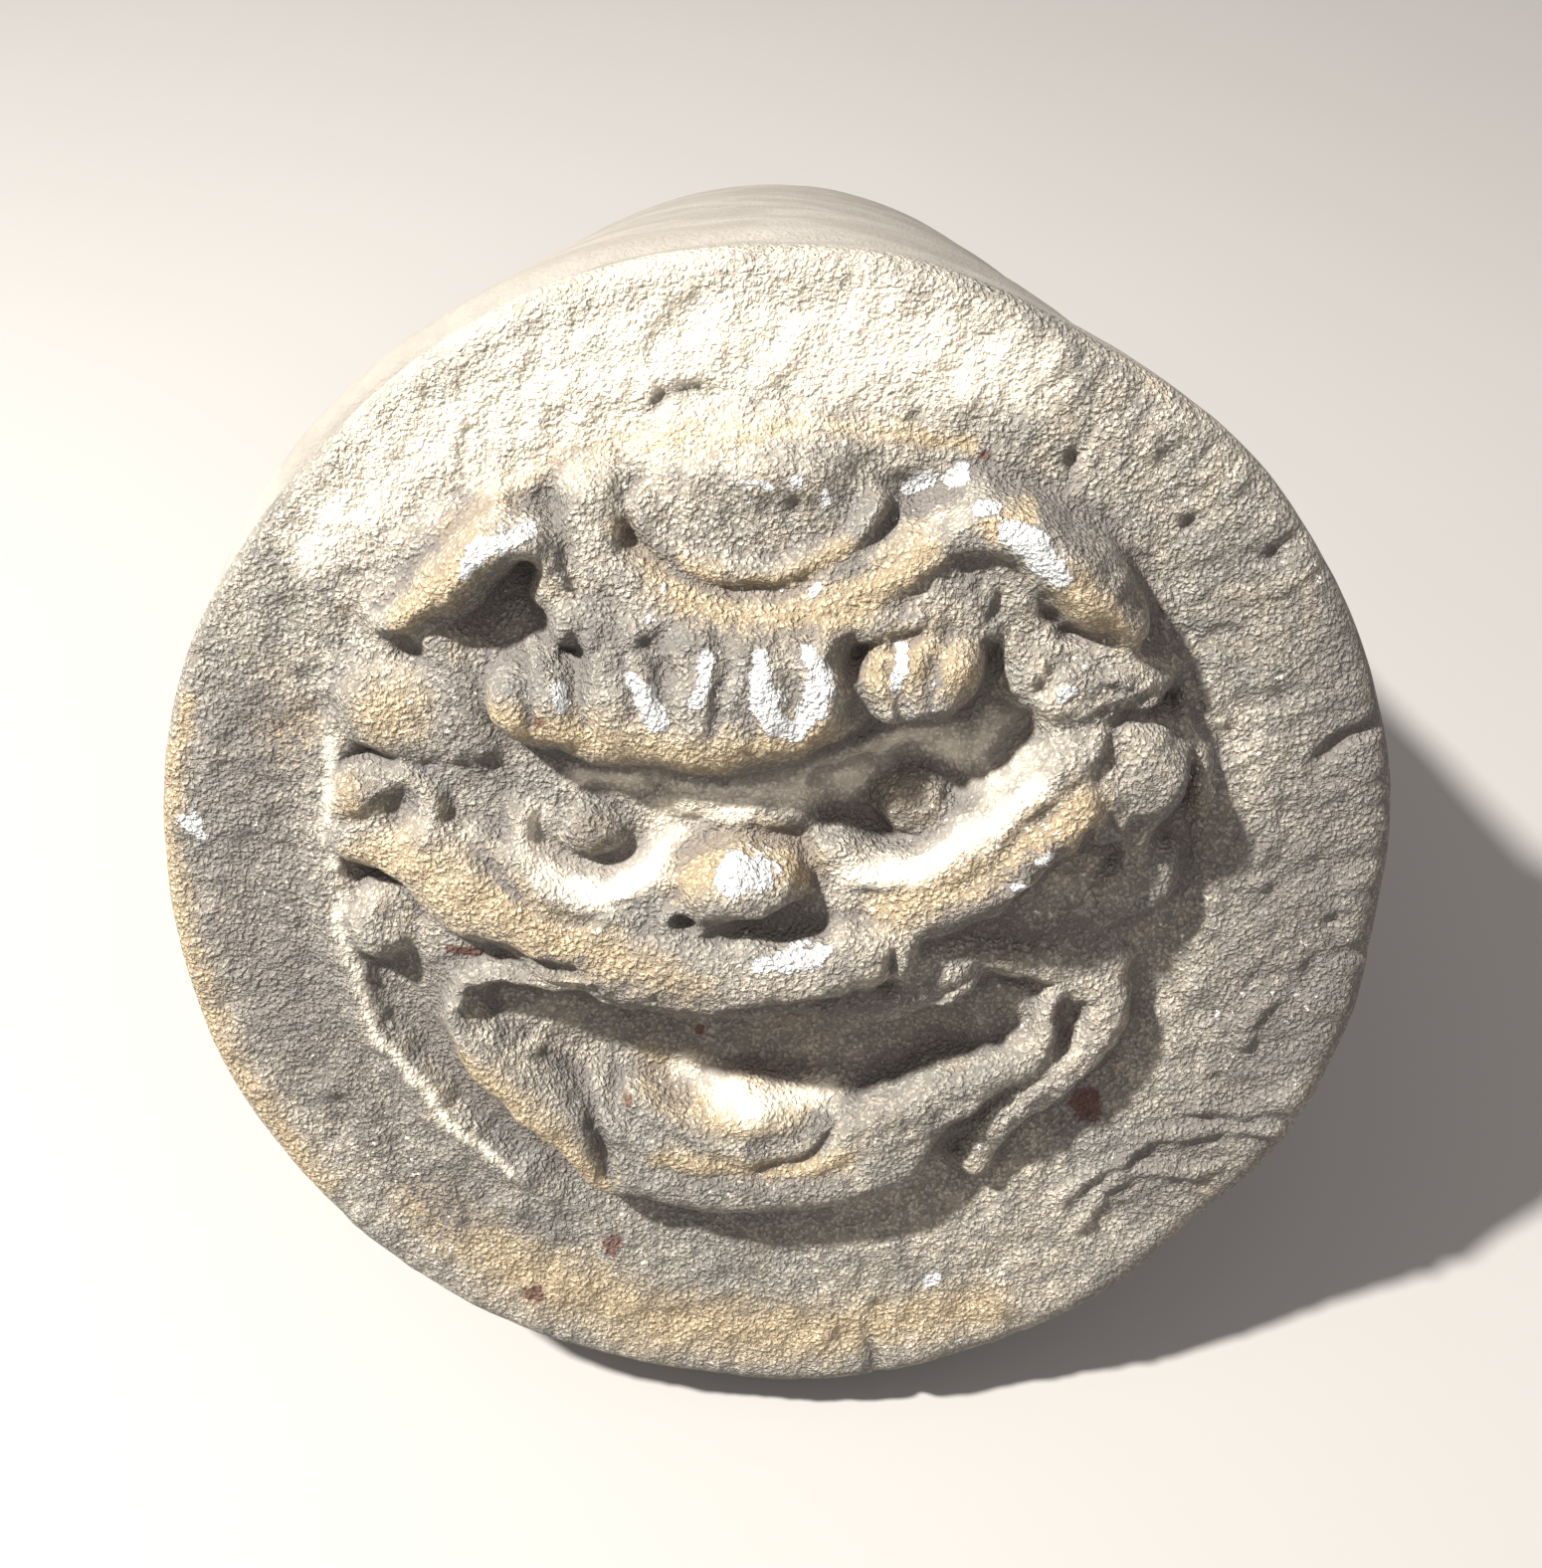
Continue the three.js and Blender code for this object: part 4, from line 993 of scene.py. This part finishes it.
# %% [markdown]
# ## Onto the table
# Now the tile is turned and set down. The three spots it rests on are worn: whatever would sink
# into the table is pressed flat against it.

# %% Set down
stood = (moved * MM) @ np.array(to_table).T + np.array(disc_centre)
stood[:, 2] = np.maximum(stood[:, 2], 0.0)
tile_mesh.vertices.foreach_set("co", stood.ravel())
tile_mesh.update()
tile_mesh.polygons.foreach_set("use_smooth", np.ones(len(tile_mesh.polygons), bool))
triangles = sum(len(p.vertices) - 2 for p in tile_mesh.polygons)
print("triangles", triangles, "leaks and volume", leaks(tile)[0])

# %% [markdown]
# ## Shader helpers
# The colours are built from nodes. A few short helpers keep the wiring readable: one makes a
# node and fills its sockets, one makes a group with named inputs and outputs.

# %% Helpers for nodes
def fill(node, values):
    tree = node.id_data
    for socket, value in values.items():
        target = node.inputs[socket]
        if isinstance(value, bpy.types.NodeSocket):
            tree.links.new(value, target)
        else:
            target.default_value = value
    return node


def add(tree, kind, settings=None, **values):
    node = tree.nodes.new(kind)
    for name, value in (settings or {}).items():
        setattr(node, name, value)
    return fill(node, {name.replace("_", " "): value for name, value in values.items()})


def maths(tree, operation, *values, clamp=False):
    node = tree.nodes.new("ShaderNodeMath")
    node.operation = operation
    node.use_clamp = clamp
    return fill(node, dict(enumerate(values))).outputs[0]


def noise_at(tree, place, size, detail=2.0, roughness=0.5, distortion=0.0):
    """Noise whose blobs are about size millimetres across."""
    node = add(tree, "ShaderNodeTexNoise", Vector=place, Scale=1 / size, Detail=detail,
               Roughness=roughness, Distortion=distortion)
    return node.outputs["Fac"]


def between(tree, value, low, high, out_low=0.0, out_high=1.0):
    node = add(tree, "ShaderNodeMapRange", {"interpolation_type": "SMOOTHSTEP"}, Value=value)
    node.inputs["From Min"].default_value = low
    node.inputs["From Max"].default_value = high
    node.inputs["To Min"].default_value = out_low
    node.inputs["To Max"].default_value = out_high
    return node.outputs["Result"]


def blend(tree, share, under, over, mode="MIX"):
    node = tree.nodes.new("ShaderNodeMix")
    node.data_type = "RGBA"
    node.blend_type = mode
    fill(node, {0: share, 6: under, 7: over})
    return node.outputs[2]


def new_group(name, inputs, outputs):
    group = bpy.data.node_groups.new(name, "ShaderNodeTree")
    for socket, kind, value in inputs:
        made = group.interface.new_socket(socket, in_out="INPUT", socket_type=kind)
        if value is not None:
            made.default_value = value
    for socket, kind in outputs:
        group.interface.new_socket(socket, in_out="OUTPUT", socket_type=kind)
    return group, group.nodes.new("NodeGroupInput").outputs, group.nodes.new("NodeGroupOutput")


def place_group(tree, group, **values):
    node = tree.nodes.new("ShaderNodeGroup")
    node.node_tree = group
    return fill(node, {name.replace("_", " "): value for name, value in values.items()}).outputs


# %% [markdown]
# ## Ragged patches
# A crust or a stain ends in a ragged line, not in a clean curve. The group takes a soft mask and
# lets noise decide, close to its edge, which grains are covered. Every kind of patch uses it.

# %% Group: ragged patch
VALUE = "NodeSocketFloat"
VECTOR = "NodeSocketVector"

ragged, source, sink = new_group(
    "ragged patch",
    [("Mask", VALUE, 0.0), ("Place", VECTOR, None), ("Grain", VALUE, 1.0), ("Raggedness", VALUE, 0.6),
     ("Start", VALUE, 0.2), ("Softness", VALUE, 0.1)],
    [("Patch", VALUE)],
)
grain_place = add(ragged, "ShaderNodeVectorMath", {"operation": "DIVIDE"})
fill(grain_place, {0: source["Place"], 1: source["Grain"]})
wobble = noise_at(ragged, grain_place.outputs[0], 1.0, detail=3.0, roughness=0.65)
offset = maths(ragged, "MULTIPLY", maths(ragged, "SUBTRACT", wobble, 0.5), source["Raggedness"])
level = maths(ragged, "ADD", source["Mask"], offset)
over_start = maths(ragged, "SUBTRACT", level, source["Start"])
patch_out = maths(ragged, "DIVIDE", over_start, source["Softness"], clamp=True)
fill(sink, {"Patch": patch_out})
print("group", ragged.name, len(ragged.nodes), "nodes")

# %% [markdown]
# ## Grit
# The clay is full of sand. Seen close it is a carpet of grains about half a millimetre across on
# wider dimples. Cells of a Voronoi pattern, bent by noise, make the grains. The group gives their
# height, for the bump, and a mask of the grain tops. The material paints the tops paler and the gaps
# between them darker: dirt there, with painted shade.

# %% Group: grit
grit, source, sink = new_group(
    "grit",
    [("Place", VECTOR, None)],
    [("Height", VALUE), ("Tops", VALUE)],
)
fine = noise_at(grit, source["Place"], 0.42, detail=2.0, roughness=0.6)
wide = noise_at(grit, source["Place"], 1.5, detail=4.0, roughness=0.7)
bend = add(grit, "ShaderNodeTexNoise", Vector=source["Place"], Scale=1.3, Detail=3.0)
bent = add(grit, "ShaderNodeVectorMath", {"operation": "SCALE"}, Scale=0.9)
fill(bent, {0: bend.outputs["Color"]})
bent_place = add(grit, "ShaderNodeVectorMath", {"operation": "ADD"})
fill(bent_place, {0: source["Place"], 1: bent.outputs[0]})
pebble_gap = add(grit, "ShaderNodeTexVoronoi", {"feature": "F1"}, Vector=bent_place.outputs[0], Scale=1.7)
pebbles = between(grit, pebble_gap.outputs["Distance"], 0.0, 0.8, 1.0, 0.0)
height = maths(grit, "ADD", maths(grit, "MULTIPLY", pebbles, 0.34), maths(grit, "MULTIPLY", fine, 0.60))
height = maths(grit, "ADD", height, maths(grit, "MULTIPLY", wide, 0.66))
both = maths(grit, "ADD", maths(grit, "MULTIPLY", pebbles, 0.5), maths(grit, "MULTIPLY", fine, 0.5))
tops = between(grit, both, 0.30, 0.62)
fill(sink, {"Height": height, "Tops": tops})
print("group", grit.name, len(grit.nodes), "nodes")

# %% [markdown]
# ## The clay
# From the bottom up: two tones of clay in broad clouds, warm and dark mottling, ochre, a pale skin
# with painted highlight, dirt with painted shade between the grains, in the hollows and in the
# creases, then soot with painted shade and pale flecks. The wiped barrel has a calmer grey of its
# own, and rust and lime lie on top of all. The grit drives a bump as well: the barrel gets little of
# it, and the rubbed pale skin half. Colours are named first.

# %% Clay colours
DARK_CLAY = (0.24, 0.228, 0.203, 1)
LIGHT_CLAY = (0.41, 0.378, 0.315, 1)
WARM_CLAY = (0.40, 0.34, 0.25, 1)
MOTTLE_GREY = (0.20, 0.195, 0.185, 1)
OCHRE_CLAY = (0.42, 0.333, 0.208, 1)
# a pale skin with painted highlight; then dirt with painted shade in the grain gaps, hollows and creases;
# then soot with painted shade
PALE_SKIN_AND_HIGHLIGHT = (0.60, 0.56, 0.465, 1)
GAP_DIRT_AND_SHADE_TINT = (0.58, 0.572, 0.57, 1)
HOLLOW_DIRT_AND_SHADE = (0.15, 0.135, 0.125, 1)
CREASE_DIRT_AND_SHADE = (0.10, 0.09, 0.088, 1)
SOOT_AND_SHADE_BLACK = (0.118, 0.109, 0.101, 1)
FLECK_WHITE = (0.72, 0.71, 0.68, 1)
BARREL_DARK = (0.195, 0.182, 0.16, 1)
BARREL_LIGHT = (0.235, 0.222, 0.20, 1)
BARREL_MOTTLE = (0.13, 0.125, 0.115, 1)
RUST_BROWN = (0.085, 0.035, 0.028, 1)
LIME_LOW = (0.37, 0.385, 0.39, 1)
LIME_TOP = (0.50, 0.51, 0.505, 1)
GRAIN_DEPTH = 0.0009
print("clay runs from", DARK_CLAY[:3], "to", LIGHT_CLAY[:3])

# %% Material: aged clay
clay_finish = bpy.data.materials.new("aged_grey_clay")
clay_finish.use_nodes = True
tree = clay_finish.node_tree
shader = tree.nodes["Principled BSDF"]


def stored(name):
    return add(tree, "ShaderNodeAttribute", {"attribute_name": name}).outputs["Fac"]


object_place = add(tree, "ShaderNodeTexCoord").outputs["Object"]
in_mm = add(tree, "ShaderNodeVectorMath", {"operation": "SCALE"}, Scale=1000.0)
fill(in_mm, {0: object_place})
spot_mm = in_mm.outputs[0]

grains = place_group(tree, grit, Place=spot_mm)
barrel_share = stored("barrel")

clouds = between(tree, noise_at(tree, spot_mm, 17.0, detail=3.0, roughness=0.6), 0.36, 0.64)
base = blend(tree, clouds, DARK_CLAY, LIGHT_CLAY)
warm_clouds = noise_at(tree, spot_mm, 7.0, detail=3.0, roughness=0.6, distortion=0.5)
warm = between(tree, warm_clouds, 0.48, 0.72, 0.0, 0.4)
base = blend(tree, warm, base, WARM_CLAY)
mottle = between(tree, noise_at(tree, spot_mm, 3.2, detail=4.0, roughness=0.72), 0.40, 0.60, 0.62, 0.0)
base = blend(tree, mottle, base, MOTTLE_GREY)
ochre_patch = place_group(tree, ragged, Mask=stored("ochre"), Place=spot_mm, Grain=2.2, Raggedness=0.9,
                          Start=0.05, Softness=0.75)["Patch"]
base = blend(tree, maths(tree, "MULTIPLY", ochre_patch, 0.75), base, OCHRE_CLAY)

# pale skin and painted highlight: the pale strokes lighten the clay, some where the light falls strongest and
# some in the brow's shadow
pale_patch = place_group(tree, ragged, Mask=stored("pale"), Place=spot_mm, Grain=2.6, Raggedness=0.9,
                         Start=-0.05, Softness=0.9)["Patch"]
base = blend(tree, maths(tree, "MULTIPLY", pale_patch, 0.9), base, PALE_SKIN_AND_HIGHLIGHT)

# dirt and painted shade between the grains: the gaps are darkened, the tops keep the clay's colour
gap_dirt_and_shade_share = maths(tree, "SUBTRACT", 1.0, maths(tree, "MULTIPLY", pale_patch, 0.45))
gap_dirt_and_shade = blend(tree, gap_dirt_and_shade_share, base, GAP_DIRT_AND_SHADE_TINT, "MULTIPLY")
base = blend(tree, grains["Tops"], gap_dirt_and_shade, base)
# dirt and painted shade: sunk hollows and creases are darkened
hollow = between(tree, stored("hollow"), 0.1, 1.7, 0.0, 0.36)
base = blend(tree, hollow, base, HOLLOW_DIRT_AND_SHADE)
top_or_gap = maths(tree, "SUBTRACT", grains["Tops"], 0.5)
crease = maths(tree, "ADD", stored("crease"), maths(tree, "MULTIPLY", top_or_gap, -0.10))
base = blend(tree, between(tree, crease, 0.06, 0.34, 0.0, 0.55), base, CREASE_DIRT_AND_SHADE)
# soot and painted shade: the strokes darken the clay, most of them where shade falls
soot_and_shade_patch = place_group(tree, ragged, Mask=stored("soot_and_shade"), Place=spot_mm, Grain=1.3, Raggedness=2.0,
                         Start=0.0, Softness=0.7)["Patch"]
soot_and_shade_share = maths(tree, "MULTIPLY", soot_and_shade_patch, between(tree, grains["Tops"], 0.0, 1.0, 0.92, 0.60))
base = blend(tree, soot_and_shade_share, base, SOOT_AND_SHADE_BLACK)

flecks = between(tree, noise_at(tree, spot_mm, 0.8, detail=2.0, roughness=0.6), 0.66, 0.72, 0.0, 0.75)
fleck_clouds = between(tree, noise_at(tree, spot_mm, 11.0, detail=2.0), 0.45, 0.65)
base = blend(tree, maths(tree, "MULTIPLY", flecks, fleck_clouds), base, FLECK_WHITE)
streaks = between(tree, noise_at(tree, spot_mm, 26.0, detail=4.0, roughness=0.55, distortion=0.8), 0.40, 0.62)
barrel_clay = blend(tree, streaks, BARREL_DARK, BARREL_LIGHT)
barrel_clay = blend(tree, maths(tree, "MULTIPLY", mottle, 0.35), barrel_clay, BARREL_MOTTLE)
base = blend(tree, barrel_share, base, barrel_clay)
rust_patch = place_group(tree, ragged, Mask=stored("rust"), Place=spot_mm, Grain=1.3, Raggedness=1.3,
                         Start=0.15, Softness=0.25)["Patch"]
base = blend(tree, maths(tree, "MULTIPLY", rust_patch, 0.8), base, RUST_BROWN)
lime_patch = place_group(tree, ragged, Mask=stored("lime"), Place=spot_mm, Grain=1.2, Raggedness=1.9,
                         Start=0.15, Softness=0.16)["Patch"]
lime_colour = blend(tree, grains["Tops"], LIME_LOW, LIME_TOP)
base = blend(tree, maths(tree, "MULTIPLY", lime_patch, 0.95), base, lime_colour)

grit_share = maths(tree, "SUBTRACT", 1.0, maths(tree, "MULTIPLY", barrel_share, 0.8))
rubbed_share = maths(tree, "SUBTRACT", 1.0, maths(tree, "MULTIPLY", pale_patch, 0.5))
grit_share = maths(tree, "MULTIPLY", grit_share, rubbed_share)
relief_height = maths(tree, "MULTIPLY", grains["Height"], grit_share)
relief_height = maths(tree, "ADD", relief_height, maths(tree, "MULTIPLY", lime_patch, 0.25))
bump = add(tree, "ShaderNodeBump", Strength=1.0, Distance=GRAIN_DEPTH, Height=relief_height)
fill(shader, {
    "Base Color": base,
    "Roughness": between(tree, grains["Tops"], 0.0, 1.0, 0.97, 0.86),
    "Specular IOR Level": 0.25,
    "Normal": bump.outputs["Normal"],
})
tile_mesh.materials.clear()
tile_mesh.materials.append(clay_finish)
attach(tile, "root")
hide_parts("eave_tile")
print("clay has", len(tree.nodes), "nodes")

# %% [markdown]
# ## Floor
# A plain pale floor, big enough to fill the view. It belongs to the stage, not to the tile.

# %% Floor
FLOOR_REACH = 3.0
corners = [(-FLOOR_REACH, -FLOOR_REACH, 0), (FLOOR_REACH, -FLOOR_REACH, 0),
           (FLOOR_REACH, FLOOR_REACH, 0), (-FLOOR_REACH, FLOOR_REACH, 0)]
floor = mesh_of("floor", corners, [[0, 1, 2, 3]])
floor_finish = bpy.data.materials.new("pale_floor")
floor_finish.use_nodes = True
floor_tree = floor_finish.node_tree
floor_place = add(floor_tree, "ShaderNodeTexCoord").outputs["Object"]
floor_cloud = add(floor_tree, "ShaderNodeTexNoise", Vector=floor_place, Scale=6.0, Detail=3.0).outputs["Fac"]
floor_colour = blend(floor_tree, floor_cloud, (0.25, 0.247, 0.24, 1), (0.27, 0.267, 0.26, 1))
fill(floor_tree.nodes["Principled BSDF"], {"Base Color": floor_colour, "Roughness": 0.9})
floor.data.materials.append(floor_finish)
print("floor", 2 * FLOOR_REACH, "m across")

# %% [markdown]
# ## Light
# Low relief only reads in raking light. One small key lamp stands up on the left, low over the
# face, so that every lock throws a shadow down to the right; a wide dim lamp and a warm grey world
# fill them. The view transform is the plain one, so colours come out as they are set.

# %% Lamps
def lamp(name, towards, distance, size, power, colour):
    data = bpy.data.lights.new(name, "AREA")
    data.energy = power
    data.color = colour
    data.shape = "DISK"
    data.size = size
    lamp_object = bpy.data.objects.new(name, data)
    towards = Vector(towards).normalized()
    lamp_object.location = disc_centre + towards * distance
    lamp_object.rotation_euler = towards.to_track_quat("Z", "Y").to_euler()
    bpy.context.scene.collection.objects.link(lamp_object)


lamp("key", towards=(-1.02, -0.28, 1.5), distance=0.8, size=0.05, power=26.0, colour=(1.0, 0.96, 0.90))
lamp("fill", towards=(0.6, -1.2, 1.0), distance=1.6, size=1.6, power=5.0, colour=(1.0, 0.92, 0.92))
world = bpy.data.worlds.new("studio")
world.use_nodes = True
fill(world.node_tree.nodes["Background"], {"Color": (1.0, 0.92, 0.89, 1), "Strength": 0.70})
bpy.context.scene.world = world
bpy.context.scene.view_settings.view_transform = "Standard"

# %% [markdown]
# ## Camera
# The camera looks at the face from a little above its middle, close enough for the disc to hide
# all of the barrel but its crown. Its place is given in the tile's own directions.

# %% Camera
CAMERA_PLACE = (1.87, -169.13, 74.69)
CAMERA_LOOK_DOWN = math.radians(20.6)
CAMERA_LOOK_ASIDE = math.radians(-0.7)
LENS = 39.97
SENSOR_WIDTH = 36.0

camera_data = bpy.data.cameras.new("camera")
camera_data.lens = LENS
camera_data.sensor_width = SENSOR_WIDTH
camera_data.clip_start = 0.01
camera = bpy.data.objects.new("camera", camera_data)
level_share = math.cos(CAMERA_LOOK_DOWN)
look = Vector((math.sin(CAMERA_LOOK_ASIDE) * level_share, math.cos(CAMERA_LOOK_ASIDE) * level_share,
               -math.sin(CAMERA_LOOK_DOWN)))
right = look.cross(Vector((0, 0, 1))).normalized()
above = right.cross(look)
turned = Matrix((right, above, -look)).transposed()
tile_to_world = to_table.to_4x4()
tile_to_world.translation = disc_centre
camera.matrix_world = tile_to_world @ Matrix.Translation(Vector(CAMERA_PLACE) * MM) @ turned.to_4x4()
bpy.context.scene.collection.objects.link(camera)
bpy.context.scene.camera = camera
print("camera at", [round(c, 4) for c in camera.matrix_world.translation])

# %% Finish
bpy.context.view_layer.update()
